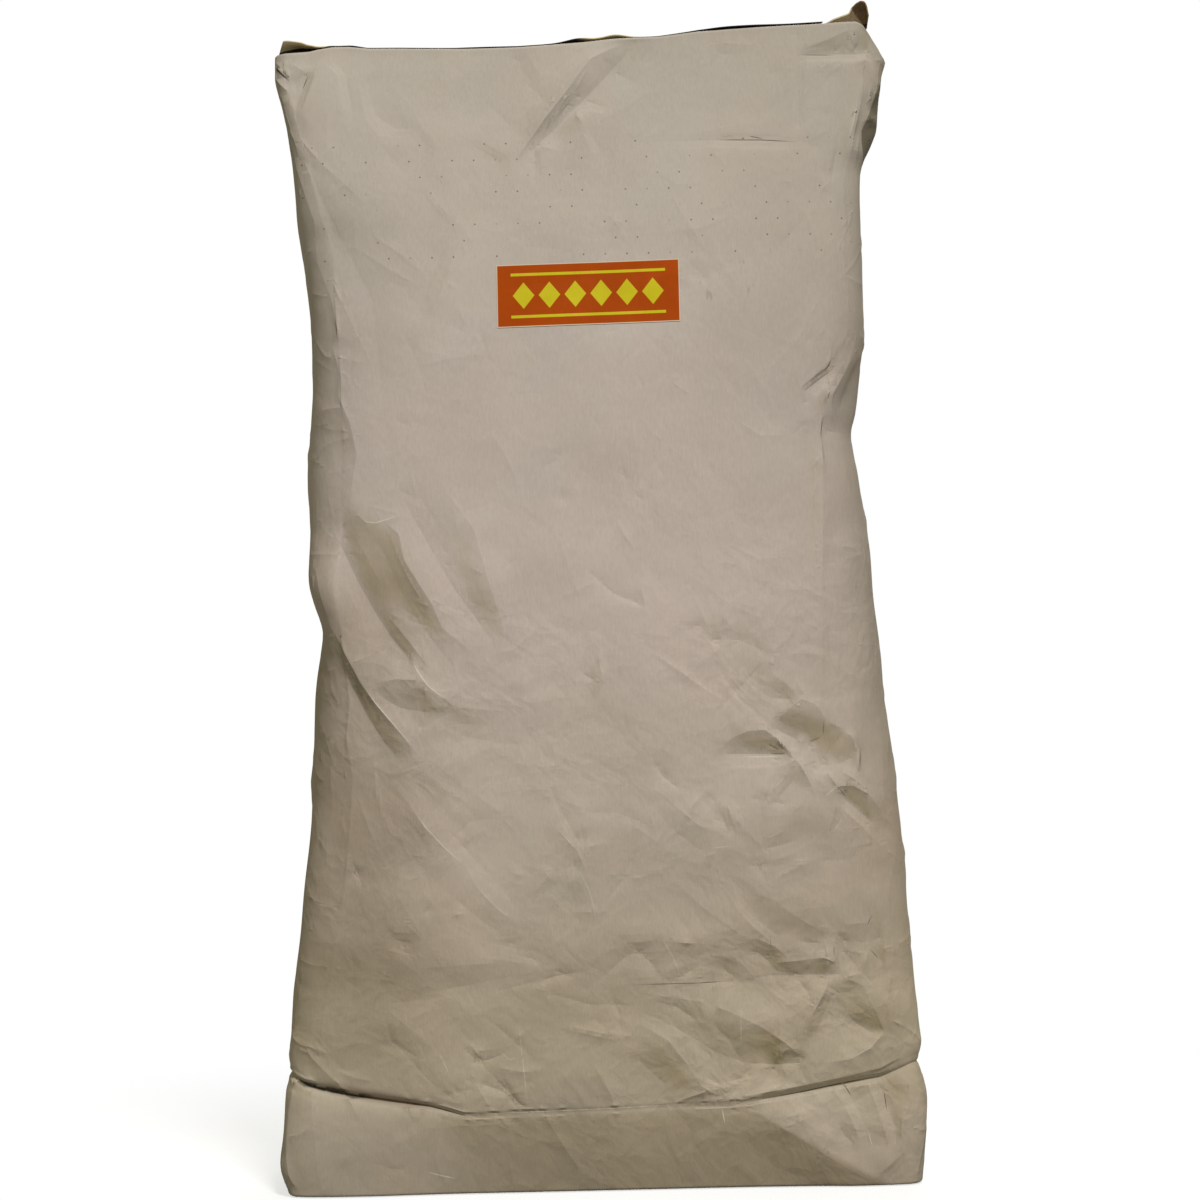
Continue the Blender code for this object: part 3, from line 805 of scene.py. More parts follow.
def wall_points(across, deep, height):
    """The walls before creasing, as rows by columns by x, y and z.

    A point of the square ring is divided by its norm of the section's squareness, which
    rounds the square's corners, and scaled by the section's reaches.
    """
    height = height[:, None]
    square = squareness(height, across)
    norm = (np.abs(across) ** square + np.abs(deep) ** square) ** (1 / square)
    wide = np.where(across > 0, reach(RIGHT_EDGE, height), reach(LEFT_EDGE, height))
    x = across / norm * wide
    lean_from = BOTTOM_CREASE * np.clip((0.222 - x) / 0.100, 0, 1)
    tuck = np.clip((lean_from - height) / BOTTOM_CREASE, 0, 1)
    tuck = BAND_LEAN * tuck * smooth_step(x, -0.19, -0.10)
    y = deep / norm * (reach(HALF_DEPTH, height) - tuck)
    near_crease = 1 - smooth_step(np.abs(height - BOTTOM_CREASE), 0, CREASE_REACH)
    sag = (bottom_line(x) - FOOT - BOTTOM_CREASE) * near_crease
    sag = sag * np.minimum(height / BOTTOM_CREASE, 1)
    climb = (TOP_CLIMB * x - end_drop(x) - top_sag(x, y)) * smooth_step(height, CLIMB_FROM, TOP)
    return np.stack([x, y, FOOT + height + sag + climb], axis=2)


def top_sag(x, y):
    """How far the top sags at its front edge, fading to nothing at the middle of the top."""
    return np.interp(x, *np.array(TOP_SAG).T) * smooth_step(-y, 0.0, 0.06)


def grid_normals(points):
    """Unit normals of a grid closed across its columns, from the cross product of its steps."""
    around = np.roll(points, -1, axis=1) - np.roll(points, 1, axis=1)
    up = np.gradient(points, axis=0)
    normal = np.cross(around, up)
    return normal / np.linalg.norm(normal, axis=2, keepdims=True)


def curvature(points, normals):
    """How sharply the surface bends: above nought on ridges, below in valleys, per metre."""
    ahead, behind = np.roll(points, -1, axis=1), np.roll(points, 1, axis=1)
    step = np.linalg.norm(ahead - behind, axis=2) / 2
    bend = ((ahead + behind - 2 * points) * normals).sum(2) / step**2
    above = np.concatenate([points[1:], points[-1:]])
    below = np.concatenate([points[:1], points[:-1]])
    rise = np.linalg.norm(above - below, axis=2) / 2
    bend += ((above + below - 2 * points) * normals).sum(2) / np.maximum(rise, 1e-4) ** 2
    return -bend


def crease_walls(points, height):
    """The walls with their creases added along the normal.

    Also how sharply each place bends, how far its creases turn it to the left or down, and
    its signed distance to the nearest crease line.
    """
    draws = np.random.default_rng(CREASE_SEED)
    normals = grid_normals(points)
    x, z = points[..., 0], points[..., 2]
    front = smooth_step(-normals[..., 1], 0.05, 0.30)
    steps = np.diff(points, axis=1, prepend=points[:, :1])
    around = np.cumsum(np.linalg.norm(steps, axis=2), axis=1)
    around = np.broadcast_to(around[len(around) // 2], x.shape)
    calm = CREASING * (1 - front * (FRONT_CALM + UPPER_CALM * smooth_step(z, 0.35, 0.62)))
    seen = front > 0
    lift = np.zeros(x.shape)
    lift[seen] = folded_faces(x[seen], z[seen])
    lift[seen] += crease(x[seen], z[seen], on_front(POCKET_EDGE), *POCKET_CREASE)
    lift = blurred(lift * front, 2)
    sharp = sum(np.exp(-((x - a) ** 2 + (z - b) ** 2) / r**2) for a, b, r in SHARP_PLACES)
    soft = 1 - np.minimum(sharp, 1)
    lift = lift + soft * (blurred(lift, 8) - lift)
    large, lines = random_creases(around, z, draws, *LARGE_CREASES)
    small, more_lines = random_creases(around, z, draws, *SMALL_CREASES)
    waves = slow_waves(around, z, draws, *WAVES)
    off = (x - ELBOW_AT[0]) ** 2 + (z - ELBOW_AT[1]) ** 2
    elbow = front * np.exp(-off / ELBOW_REACH**2)
    calm = calm * (1 - ELBOW_CALM * elbow)
    lift += calm * (large * (1 - LARGE_CALM * front) + small + waves)
    creased = grid_normals(points + normals * lift[..., None])
    turned = blurred((normals - creased)[..., 0] + (normals - creased)[..., 2], 1)
    lift += bottom_groove(x, height) + back_seam(x, points[..., 1]) - rim_rounding(height)
    moved = points + normals * lift[..., None]
    along = face_corners(around)
    along[:, -1, 1:3] += around.max() + around[0, 1]
    away, strewn, _ = nearest_line(along, face_corners(z), lines + more_lines)
    folds = [on_front(np.array(fold)[:, :2]) for _, group in FOLD_GROUPS for fold in group]
    drawn_away, drawn, _ = nearest_line(face_corners(x), face_corners(z), folds)
    first = (drawn_away < away + 0.002) & (front[:-1] > 0)
    line = np.where(first[..., None], drawn, strewn)
    edge = smooth_step(np.minimum(height, TOP - height), 0.003, 0.009)[:, None]
    bend = blurred(edge * curvature(moved, grid_normals(moved)), 1) * edge
    return moved, bend, turned, line


def bottom_groove(x, height):
    """The pinch under the belly: a hairline in the middle, deep at the left, less so right.

    It is its depth times e to the power of minus the distance to the crease over the reach.
    """
    left = smooth_step(-x, 0.09, 0.17) * (1 - 0.6 * smooth_step(-x, 0.225, 0.250))
    right = smooth_step(x, 0.10, 0.18) * (1 - 0.4 * smooth_step(x, 0.230, 0.250))
    deep = GROOVE_DEPTH + GROOVE_LEFT * left + GROOVE_RIGHT * right
    over = height[:, None] - BOTTOM_CREASE
    return -deep * np.exp(-np.abs(over) / np.where(over > 0, GROOVE_ABOVE, GROOVE_BELOW))


def back_seam(x, y):
    """The tube's glued lap down the back: a band raised by a sheet's thickness."""
    band = smooth_step(-x, *SEAM_STARTS) * (1 - smooth_step(-x, *SEAM_ENDS))
    return SEAM_THICK * band * smooth_step(y, 0.02, 0.05)


def rim_rounding(height):
    """How far the wall draws in where it turns over the top and bottom edges."""
    share = np.maximum(height - (TOP - EDGE_ROUNDING), EDGE_ROUNDING - height) / EDGE_ROUNDING
    share = np.clip(share, 0, 1)[:, None]
    return EDGE_ROUNDING * (1 - np.sqrt(1 - 0.98 * share**2))


def cap(rim, height_at):
    """Rings drawn in from a rim towards the middle, each point lifted to height_at(x, y)."""
    shares = np.linspace(1, 0, CAP_RINGS + 1)[1:-1]
    rings = np.stack([rim[:, :2] * share for share in shares])
    return np.concatenate([rings, height_at(rings[..., 0], rings[..., 1])[..., None]], axis=2)


def closed_mesh(name, rows):
    """A mesh from rings of points laid on each other, closed by a point at each end."""
    count, columns = rows.shape[:2]
    here = np.arange(columns)
    nxt = (here + 1) % columns
    base = (np.arange(count - 1) * columns)[:, None]
    quads = np.stack([base + here, base + nxt, base + columns + nxt, base + columns + here], axis=2)
    ends = np.stack([rows[0].mean(0), rows[-1].mean(0)])
    points = np.concatenate([rows.reshape(-1, 3), ends])
    low, high = len(points) - 2, len(points) - 1
    last = (count - 1) * columns
    fans = [(low, b, a) for a, b in zip(here.tolist(), nxt.tolist())]
    fans += [(high, last + a, last + b) for a, b in zip(here.tolist(), nxt.tolist())]
    mesh = bpy.data.meshes.new(name)
    mesh.from_pydata(points.tolist(), [], quads.reshape(-1, 4).tolist() + fans)
    return mesh


def top_surface(x, y):
    """Height of the sack's top face."""
    return FOOT + TOP + TOP_CLIMB * x - end_drop(x) - top_sag(x, y)


def make_sack():
    """The sack's skin, closed above and below, with the values that its material reads."""
    across, deep = ring()
    height = row_heights()
    walls, bend, turned, line = crease_walls(wall_points(across, deep, height), height)
    walls[0, :, 2] = FOOT
    bottom = cap(walls[0], lambda x, y: np.full(x.shape, FOOT))[::-1]
    top = cap(walls[-1], top_surface)
    rows = np.concatenate([bottom, walls, top])
    mesh = closed_mesh("paper_sack_skin", rows)
    flat = np.zeros((len(bottom), len(across)))
    add_values(mesh, "bend", "POINT", np.concatenate([flat, bend, flat]))
    add_values(mesh, "turned", "POINT", np.concatenate([flat, turned, flat]))
    far = np.full((len(bottom), len(across), 4), LINE_REACH)
    add_values(mesh, "crease_line", "CORNER", np.concatenate([far, line, far]))
    x, y, z = (face_corners(walls[..., axis]) for axis in range(3))
    front = (face_corners(np.broadcast_to(deep, walls.shape[:2])) < -0.9).all(2)
    drawn = (GROOVE_SHADE_LINES, HIGHLIGHT_LINES, CREASE_SHADE_LINES, GAP_SHADOW_LINES, NICK_SHADOW_LINES)
    for (name, _, _), pixels in zip(LINE_LOOKS, drawn):
        _, signed, inner = nearest_line(x, z, [on_front(line) for line in pixels])
        signed[~front] = LINE_REACH
        add_values(mesh, name, "CORNER", np.concatenate([far, signed, far]))
        add_values(mesh, name + "_part", "CORNER", np.concatenate([far * 0, inner, far * 0]))
    # Signed distance past the pocket's edge, inside which the material paints shadow.
    near, signed, _ = nearest_line(x, z, [on_front(POCKET_EDGE)], POCKET_REACH)
    inside = (near < POCKET_REACH) & (y.mean(2) < 0)
    signed[~inside] = -POCKET_REACH
    add_values(mesh, "pocket", "CORNER", np.concatenate([0 * far, signed, 0 * far]))
    mesh.shade_smooth()
    mesh.set_sharp_from_angle(angle=math.radians(50))
    return new_piece("paper_sack_skin", mesh, "kraft_paper", "paper_sack"), walls


# The strips, the sleeve and the label


def sheet_mesh(name, points, thickness):
    """A sheet through a grid of points, closed all round, its thickness below them."""
    rows, columns = points.shape[:2]
    under = points - grid_up(points) * thickness
    both = np.concatenate([points.reshape(-1, 3), under.reshape(-1, 3)])
    index = np.arange(rows * columns).reshape(rows, columns)
    face = [index[:-1, :-1], index[:-1, 1:], index[1:, 1:], index[1:, :-1]]
    face = np.stack(face, axis=2).reshape(-1, 4)
    rim = np.concatenate([index[0, :-1], index[:-1, -1], index[-1, :0:-1], index[:0:-1, 0]])
    nxt = np.roll(rim, -1)
    shift = rows * columns
    walls = np.stack([rim, rim + shift, nxt + shift, nxt], axis=1)
    faces = np.concatenate([face, face[:, ::-1] + shift, walls])
    mesh = bpy.data.meshes.new(name)
    mesh.from_pydata(both.tolist(), [], faces.tolist())
    mesh.shade_smooth()
    mesh.set_sharp_from_angle(angle=math.radians(40))
    return mesh


def grid_up(points):
    """Unit normals of an open grid, from the cross product of its two steps."""
    normal = np.cross(np.gradient(points, axis=1), np.gradient(points, axis=0))
    return normal / np.linalg.norm(normal, axis=2, keepdims=True)


def flat_grid(left, right, depth, columns, rows):
    """x and y of an even grid."""
    return np.meshgrid(np.linspace(left, right, columns), np.linspace(-depth / 2, depth / 2, rows))


def swell(x, middle, spread_out):
    """A bell over x: e to the power of minus the squared distance over the squared reach."""
    return np.exp(-(((x - middle) / spread_out) ** 2))


def make_top_patch():
    """The strip over the folded top: it follows the top, climbs over the sleeve and lifts.

    Its front edge stands off the sack by two bells near the middle and a faint wave along
    the right, and its left front corner curls up by the listed outline. Slow sine ripples
    lie over all of it. Its left end is cut a little askew.
    """
    x, y = flat_grid(PATCH_LEFT, PATCH_RIGHT, PATCH_DEPTH, *TOP_PATCH_GRID)
    y = y + 0.0012 * np.sin(31 * x + 1.0) + 0.0006 * np.sin(87 * x)
    climb = smooth_step(x, SLEEVE_LEFT - 0.035, SLEEVE_LEFT - 0.004)
    over_sleeve = (SLEEVE_THICK + 2 * LAY_GAP) * climb
    over_sleeve = over_sleeve * (1 - 0.6 * smooth_step(-y, 0.0665, PATCH_DEPTH / 2))
    lift = reach(CURL_PROFILE, x, 0.002) * smooth_step(-y, -0.02, PATCH_DEPTH / 2)
    loose = smooth_step(-y, 0.040, PATCH_DEPTH / 2)
    lift = lift + loose * (0.0032 * swell(x, 0.000, 0.014) + 0.0034 * swell(x, 0.028, 0.013))
    right = smooth_step(x, 0.060, 0.110) * (1 - smooth_step(x, 0.150, PATCH_RIGHT))
    lift = lift + 0.0004 * loose * right * (0.7 + 0.3 * np.sin(60 * x))
    lift = lift + 0.0010 * smooth_step(y, 0.045, PATCH_DEPTH / 2) * (1 + np.sin(26 * x + 2.0))
    ripple = 0.00025 * (1 + np.sin(55 * x + 20 * y) * np.sin(70 * y - 18 * x))
    z = top_surface(x, y) + LAY_GAP + PATCH_THICK + over_sleeve + lift + ripple
    askew = np.minimum(y + PATCH_DEPTH / 2, 0.045) / 6 - 0.0025
    points = np.stack([x - askew * smooth_step(-x, 0.200, 0.240), y, z], axis=2)
    mesh = sheet_mesh("loose_top_strip", points, PATCH_THICK)
    add_values(mesh, "under", "POINT", np.repeat([0.0, 1.0], x.size))
    return new_piece("loose_top_strip", mesh, "patch_paper", "top_cover_patch")


def make_sleeve():
    """The valve's flattened sleeve on the top: its front corner is bent up into an ear.

    The ear's listed outline is its height along the front edge, and it falls away evenly
    behind that edge.
    """
    x, y = flat_grid(SLEEVE_LEFT, SLEEVE_RIGHT, SLEEVE_DEPTH, *SLEEVE_GRID)
    ear = reach(EAR_PROFILE, x, 0.0006) * np.clip(1 - (y + SLEEVE_DEPTH / 2) / EAR_LONG, 0, 1)
    ripple = 0.0003 * (1 + np.sin(70 * x + 3) * np.sin(45 * y))
    z = FOOT + TOP + TOP_CLIMB * x + LAY_GAP + SLEEVE_THICK + ear + ripple
    points = np.stack([x, y, z], axis=2)
    mesh = sheet_mesh("valve_sleeve_end", points, SLEEVE_THICK)
    add_values(mesh, "under", "POINT", np.repeat([0.0, 1.0], x.size))
    return new_piece("valve_sleeve_end", mesh, "sleeve_paper", "valve_sleeve")


def make_bottom_patch():
    """The strip under the sack, flat on the floor, its cut edge a little wavy."""
    low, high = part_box("bottom_cover_patch")
    x, y = flat_grid(low[0], high[0], high[1] - low[1], *BOTTOM_PATCH_GRID)
    x = x - 0.0006 * (1 + np.sin(140 * y)) * np.sign(x)
    y = y * (1 - 0.006 * (1 + np.sin(33 * x)))
    points = np.stack([x, y, np.full(x.shape, high[2])], axis=2)
    mesh = sheet_mesh("bottom_strip", points, high[2] - low[2])
    return new_piece("bottom_strip", mesh, "patch_paper", "bottom_cover_patch")


def between(grid, rows, columns):
    """Points between the grid's own, blended from the four around each."""
    row, column = np.floor(rows).astype(int), np.floor(columns).astype(int)
    up, along = (rows - row)[..., None], (columns - column)[..., None]
    lower = grid[row, column] * (1 - along) + grid[row, column + 1] * along
    upper = grid[row + 1, column] * (1 - along) + grid[row + 1, column + 1] * along
    return lower * (1 - up) + upper * up


def make_label(walls):
    """The printed label, laid on the creased wall and turned a little, as in the photograph."""
    low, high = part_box("front_label")
    ends = ((low[0], high[0]), (low[2], high[2]))
    x, z = np.meshgrid(*[np.linspace(*pair, count) for pair, count in zip(ends, LABEL_GRID)])
    z = z + LABEL_TURN * (x - (low[0] + high[0]) / 2)
    heights = z - FOOT
    share = x / np.where(x > 0, reach(RIGHT_EDGE, heights), reach(LEFT_EDGE, heights))
    columns = np.interp(share, spread(FRONT_SPREAD), np.arange(FRONT_SPREAD[0][2]))
    rows = np.interp(heights, row_heights(), np.arange(len(row_heights())))
    points = between(walls, rows, columns)
    points = points + grid_up(points) * LABEL_LIFT
    mesh = sheet_mesh("printed_label", points, LABEL_THICK)
    sheet = mesh.uv_layers.new(name="print")
    place = [(x - low[0]) / (high[0] - low[0]), (z - z.min(0)) / (high[2] - low[2])]
    place = np.stack(place, axis=2)
    place = np.concatenate([place.reshape(-1, 2)] * 2)
    corners = np.empty(len(mesh.loops), dtype=np.int32)
    mesh.loops.foreach_get("vertex_index", corners)
    sheet.data.foreach_set("uv", place[corners].ravel())
    return new_piece("printed_label", mesh, "label_print", "front_label")


def add_values(mesh, name, domain, values):
    """Keeps a number for each point or face corner, and nought for those not given."""
    store = mesh.attributes.new(name, "FLOAT", domain).data
    kept = np.zeros(len(store), dtype=np.float32)
    kept[: values.size] = values.ravel()
    store.foreach_set("value", kept)


def new_piece(name, mesh, slot, *nodes):
    """A shown piece that stands for its nodes and rides on the sack's body."""
    piece = bpy.data.objects.new(name, mesh)
    bpy.context.scene.collection.objects.link(piece)
    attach(piece, "root")
    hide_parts(*nodes)
    return piece


# Materials

FIBRE_SCALE = 620.0
DEEP_SHADE = (0.010, 0.008, 0.007, 1)

# The lines drawn on the front: their attribute, their colour and their reach in metres.
LINE_LOOKS = (
    # Painted shade along the left of the groove under the belly.
    ("groove_shade_line", (0.235, 0.178, 0.128, 1), 0.0070),
    # Painted highlights, partly wear, along fold edges.
    ("highlight_line", (0.49, 0.44, 0.37, 1), 0.0006),
    # Painted shade in the creases.
    ("crease_shade_line", (0.10, 0.078, 0.055, 1), 0.0005),
    # Painted shadow in the groove under the belly.
    ("gap_shadow_line", DEEP_SHADE, 0.0030),
    # Painted shadow in the nick at the top left corner.
    ("nick_shadow_line", (0.020, 0.015, 0.011, 1), 0.0011),
)
CRISP_REACH = 0.006
CRISP_EDGE = 0.0135  # millimetres for each unit of bend
# Kraft colour by height, as (metres, colour). Its darker foot and darker top are partly painted shade.
KRAFT_AND_SHADE_BY_HEIGHT = (
    (0.000, (0.300, 0.254, 0.198)),
    (0.060, (0.345, 0.295, 0.240)),
    (0.110, (0.424, 0.360, 0.268)),
    (0.250, (0.418, 0.354, 0.299)),
    (0.480, (0.404, 0.345, 0.320)),
    (0.700, (0.361, 0.316, 0.286)),
    (0.860, (0.332, 0.296, 0.258)),
)

# Tints that the kraft's colour is multiplied by.
CLOUD_DARK, CLOUD_LIGHT = (0.90, 0.895, 0.88, 1), (1.08, 1.075, 1.07, 1)
WARM = (1.015, 0.995, 0.985, 1)
# Painted shade: darker low on both flanks where the belly turns away, at the middle of the foot where
# it faces down, and over the right part of the wall.
FLANK_SHADE, FOOT_SHADE = (0.70, 0.675, 0.61, 1), (0.74, 0.72, 0.64, 1)
RIGHT_SHADE = (0.91, 0.905, 0.89, 1)
TURNED_SHADE = (0.87, 0.855, 0.71, 1)  # olive, on faces turned away from the light

# Colours that cover the kraft.
# Pale on sharp ridges as painted highlight, partly wear, and dark in the valleys as painted shade.
WORN_RIDGE_HIGHLIGHT, VALLEY_SHADE = (0.52, 0.47, 0.39, 1), (0.17, 0.14, 0.09, 1)
# Painted shadow inside the folded pocket at the top right.
POCKET_SHADOW = (0.105, 0.088, 0.058, 1)
NEEDLE_HOLE, SCUFF = (0.05, 0.038, 0.026, 1), (0.26, 0.22, 0.17, 1)

# Where each of them lies, as soft edges in metres: axis, nought there and full there, and
# then the values at both ends where they aren't 0 and 1.
# The painted shade low on the flanks, at the middle of the foot and over the right part of the wall:
FLANK_SHADE_LEFT_AT = (("X", -0.09, -0.20), ("Z", 0.60, 0.42), ("Z", 0.080, 0.180))
FLANK_SHADE_RIGHT_AT = (("X", 0.18, 0.24), ("Z", 0.74, 0.64), ("Z", 0.055, 0.085, 0.1, 0.6))
FOOT_SHADE_AT = (("Z", 0.075, 0.055), ("X", -0.19, -0.05), ("Y", 0.0, -0.05))
RIGHT_SHADE_AT = (("X", 0.04, 0.20), ("Z", 0.12, 0.22))
POCKET_SHADOW_AT = (("Y", -0.018, -0.045, 0.0, 0.85),)
NEEDLE_HOLES_AT = (("Z", 0.735, 0.745), ("Z", 0.852, 0.842))
SCUFFS_AT = (("X", 0.05, 0.12), ("Z", 0.62, 0.70), ("Z", 0.80, 0.74))
HANDLED_AT = (("Z", 0.62, 0.34, 0.25, 1.0),)
# Where the top strip's underside is painted light: its curled left corner and a lifted stretch near the
# middle.
CURLED_AT = (("X", -0.15, -0.17),)
LIFTED_AT = (("X", -0.004, 0.010), ("X", 0.052, 0.042))

# The facets' two layers: share of the facet size, turn and share of the height.
CRUMPLE_LAYERS = ((1.0, (0.4, 0.7, 0.3), 1.0), (0.45, (1.1, 0.2, 0.9), 0.8))
CRUMPLE_DRIFT = 0.05

# Darker and lighter colours of the strips, the ear and the print.
BOTTOM_STRIP = (0.42, 0.35, 0.24, 1), (0.50, 0.43, 0.31, 1)
TOP_STRIP = (0.33, 0.285, 0.235, 1), (0.40, 0.35, 0.29, 1)
# Painted light on the top strip's underside where it curls or lifts.
TOP_STRIP_LIT_BELOW = (0.62, 0.52, 0.30, 1)
# The ear's pale ply, partly painted light, and its brown inner paper, partly painted shade.
EAR_LIT = (0.36, 0.27, 0.15, 1), (0.50, 0.42, 0.28, 1)
EAR_BROWN_SHADED = (0.10, 0.058, 0.025, 1), (0.22, 0.14, 0.07, 1)
EAR_UPPER = (0.22, 0.145, 0.080, 1), (0.30, 0.21, 0.125, 1)
LABEL_ORANGE = (0.285, 0.042, 0.0005, 1), (0.325, 0.050, 0.0005, 1)
LABEL_YELLOW = (0.43, 0.36, 0.01, 1), (0.48, 0.41, 0.015, 1)
LABEL_RIM = (0.50, 0.42, 0.32, 1)
LABEL_WIDE, LABEL_TALL = 0.145, 0.050
LABEL_LINE_AT = 0.0168
LABEL_LINE_EDGE = (0.00125, 0.00105)
LABEL_PRINT_END = (0.0614, 0.0611)
LOZENGE_PITCH, LOZENGE_HALF_WIDE, LOZENGE_HALF_TALL = 0.0205, 0.0085, 0.0105


def node(tree, kind, inputs=(), **settings):
    """A new shader node. Its inputs are (name or number, value or socket) pairs."""
    made = tree.nodes.new(kind)
    for name, value in settings.items():
        setattr(made, name, value)
    for name, value in inputs:
        if isinstance(value, bpy.types.NodeSocket):
            tree.links.new(value, made.inputs[name])
        else:
            made.inputs[name].default_value = value
    return made


def calc(tree, operation, *values, clamp=False):
    """The result socket of a Math node."""
    pairs = list(enumerate(values))
    return node(tree, "ShaderNodeMath", pairs, operation=operation, use_clamp=clamp).outputs[0]


def times(tree, first, *others):
    """The product of all the values."""
    for other in others:
        first = calc(tree, "MULTIPLY", first, other)
    return first


def plus(tree, first, *others):
    """The sum of all the values."""
    for other in others:
        first = calc(tree, "ADD", first, other)
    return first


def minus(tree, first, second):
    """The first value less the second."""
    return calc(tree, "SUBTRACT", first, second)


def size_of(tree, value):
    """The value without its sign."""
    return calc(tree, "ABSOLUTE", value)


def mixed(tree, share, first, second, blend="MIX"):
    """The result socket of a colour Mix node."""
    pairs = ((0, share), (6, first), (7, second))
    return node(tree, "ShaderNodeMix", pairs, data_type="RGBA", blend_type=blend).outputs[2]


def tinted(tree, colour, tint, share=1.0):
    """The colour multiplied by a tint, by as much as the share says."""
    whole = mixed(tree, 1.0, colour, tint, "MULTIPLY")
    return mixed(tree, share, colour, whole)


def ramped(tree, value, low, high, to_low=0.0, to_high=1.0):
    """The value carried smoothly from one range to another."""
    pairs = ((0, value), (1, low), (2, high), (3, to_low), (4, to_high))
    return node(tree, "ShaderNodeMapRange", pairs, interpolation_type="SMOOTHSTEP").outputs[0]


def toned(tree, paper, dark, light, low=0.3, high=0.7):
    """Between a dark and a light colour, by the paper's cloudy tone."""
    return mixed(tree, ramped(tree, paper["Tone"], low, high), dark, light)


def stored(tree, name):
    """The number that the mesh keeps under this name."""
    return node(tree, "ShaderNodeAttribute", attribute_name=name).outputs["Fac"]


def object_place(tree):
    """The place on the piece, in metres."""
    return node(tree, "ShaderNodeTexCoord").outputs["Object"]


def place_parts(tree):
    """X, Y and Z of the place on the piece, in metres."""
    return node(tree, "ShaderNodeSeparateXYZ", ((0, object_place(tree)),)).outputs


def region(tree, edges):
    """How far inside a region the place is: the product of the region's soft edges."""
    parts = place_parts(tree)
    return times(tree, *[ramped(tree, parts[axis], *ends) for axis, *ends in edges])


def noise(tree, place, scale, detail=2.0, rough=0.5):
    """Soft noise from 0 to 1."""
    pairs = (("Vector", place), ("Scale", scale), ("Detail", detail), ("Roughness", rough))
    return node(tree, "ShaderNodeTexNoise", pairs).outputs["Fac"]


def mapped(tree, place, **how):
    """The place stretched or turned."""
    return node(tree, "ShaderNodeMapping", (("Vector", place), *how.items())).outputs[0]


def new_group(name, inputs, outputs):
    """A node group of numbers: the group, its inputs and its outputs, by their names."""
    group = bpy.data.node_groups.new(name, "ShaderNodeTree")
    for way, sockets in (("INPUT", inputs), ("OUTPUT", outputs)):
        for socket in sockets:
            group.interface.new_socket(name=socket, in_out=way, socket_type="NodeSocketFloat")
    given, result = group.nodes.new("NodeGroupInput"), group.nodes.new("NodeGroupOutput")
    return group, given.outputs, result.inputs


def paper_grain_group():
    """Fibres, cloudy tone and a slight change of tint, all read in real metres."""
    group, given, result = new_group(
        "paper_grain", ("Cloud Scale", "Fibre Scale"), ("Tone", "Tint", "Height")
    )
    place = object_place(group)
    fibres = noise(group, mapped(group, place, Scale=(1, 1, 0.25)), given["Fibre Scale"], 3.0, 0.6)
    specks = noise(group, place, times(group, given["Fibre Scale"], 0.45))
    clouds = noise(group, place, given["Cloud Scale"], 3.0, 0.55)
    tone = plus(group, times(group, fibres, 0.35), times(group, clouds, 0.65))
    tint = noise(group, place, times(group, given["Cloud Scale"], 1.7))
    high = plus(group, times(group, fibres, 0.6), times(group, specks, 0.4))
    for name, value in (("Tone", tone), ("Tint", tint), ("Height", high)):
        group.links.new(value, result[name])
    return group


def crumple_group():
    """Small flat facets with crisp edges, as handled paper has. Heights are in millimetres.

    The height is the distance to the nearest strewn point, measured along the axes, so
    each facet is a plane. Two sizes are laid over each other, both drawn askew by noise.
    """
    group, given, result = new_group("crumple", ("Facet Size", "Slope"), ("Height",))
    place = object_place(group)
    drift = node(group, "ShaderNodeTexNoise", (("Vector", place), ("Scale", 16.0), ("Detail", 2.0)))
    pairs = ((0, drift.outputs["Color"]), (1, (0.5, 0.5, 0.5)))
    drift = node(group, "ShaderNodeVectorMath", pairs, operation="SUBTRACT").outputs[0]
    pairs = ((0, drift), ("Scale", CRUMPLE_DRIFT))
    drift = node(group, "ShaderNodeVectorMath", pairs, operation="SCALE").outputs[0]
    askew = node(group, "ShaderNodeVectorMath", ((0, place), (1, drift)), operation="ADD").outputs[0]
    total = 0.0
    for share, turn, weight in CRUMPLE_LAYERS:
        size = times(group, given["Facet Size"], share)
        pairs = (
            ("Vector", mapped(group, askew, Rotation=turn)),
            ("Scale", calc(group, "DIVIDE", 1.0, size)),
        )
        facets = node(group, "ShaderNodeTexVoronoi", pairs, distance="MANHATTAN").outputs["Distance"]
        total = plus(group, total, times(group, facets, size, weight))
    group.links.new(times(group, total, given["Slope"], 1000.0), result["Height"])
    return group


def needle_holes_group():
    """Rows of pricked air holes, staggered, some of them closed again.

    Each cell of a grid has one round hole in its middle, every second row is half a cell
    along, and a random number for each cell says how open its hole is.
    """
    group, given, result = new_group("needle_holes", ("Pitch", "Row Pitch", "Radius"), ("Mask",))
    parts = place_parts(group)
    pitch, row_pitch = given["Pitch"], given["Row Pitch"]
    row = calc(group, "DIVIDE", parts["Z"], row_pitch)
    row_number = calc(group, "FLOOR", row)
    shift = times(group, calc(group, "MODULO", row_number, 2.0), 0.5)
    column = plus(group, calc(group, "DIVIDE", parts["X"], pitch), shift)
    cell = node(group, "ShaderNodeCombineXYZ", ((0, calc(group, "FLOOR", column)), (1, row_number)))
    chance = node(group, "ShaderNodeTexWhiteNoise", (("Vector", cell.outputs[0]),)).outputs["Value"]
    squares = []
    for count, step in ((column, pitch), (row, row_pitch)):
        off = times(group, minus(group, calc(group, "FRACT", count), 0.5), step)
        squares.append(calc(group, "POWER", off, 2.0))
    away = calc(group, "SQRT", plus(group, *squares))
    dot = minus(group, 1.0, ramped(group, away, 0.0, given["Radius"]))
    group.links.new(times(group, dot, ramped(group, chance, 0.35, 0.9)), result["Mask"])
    return group


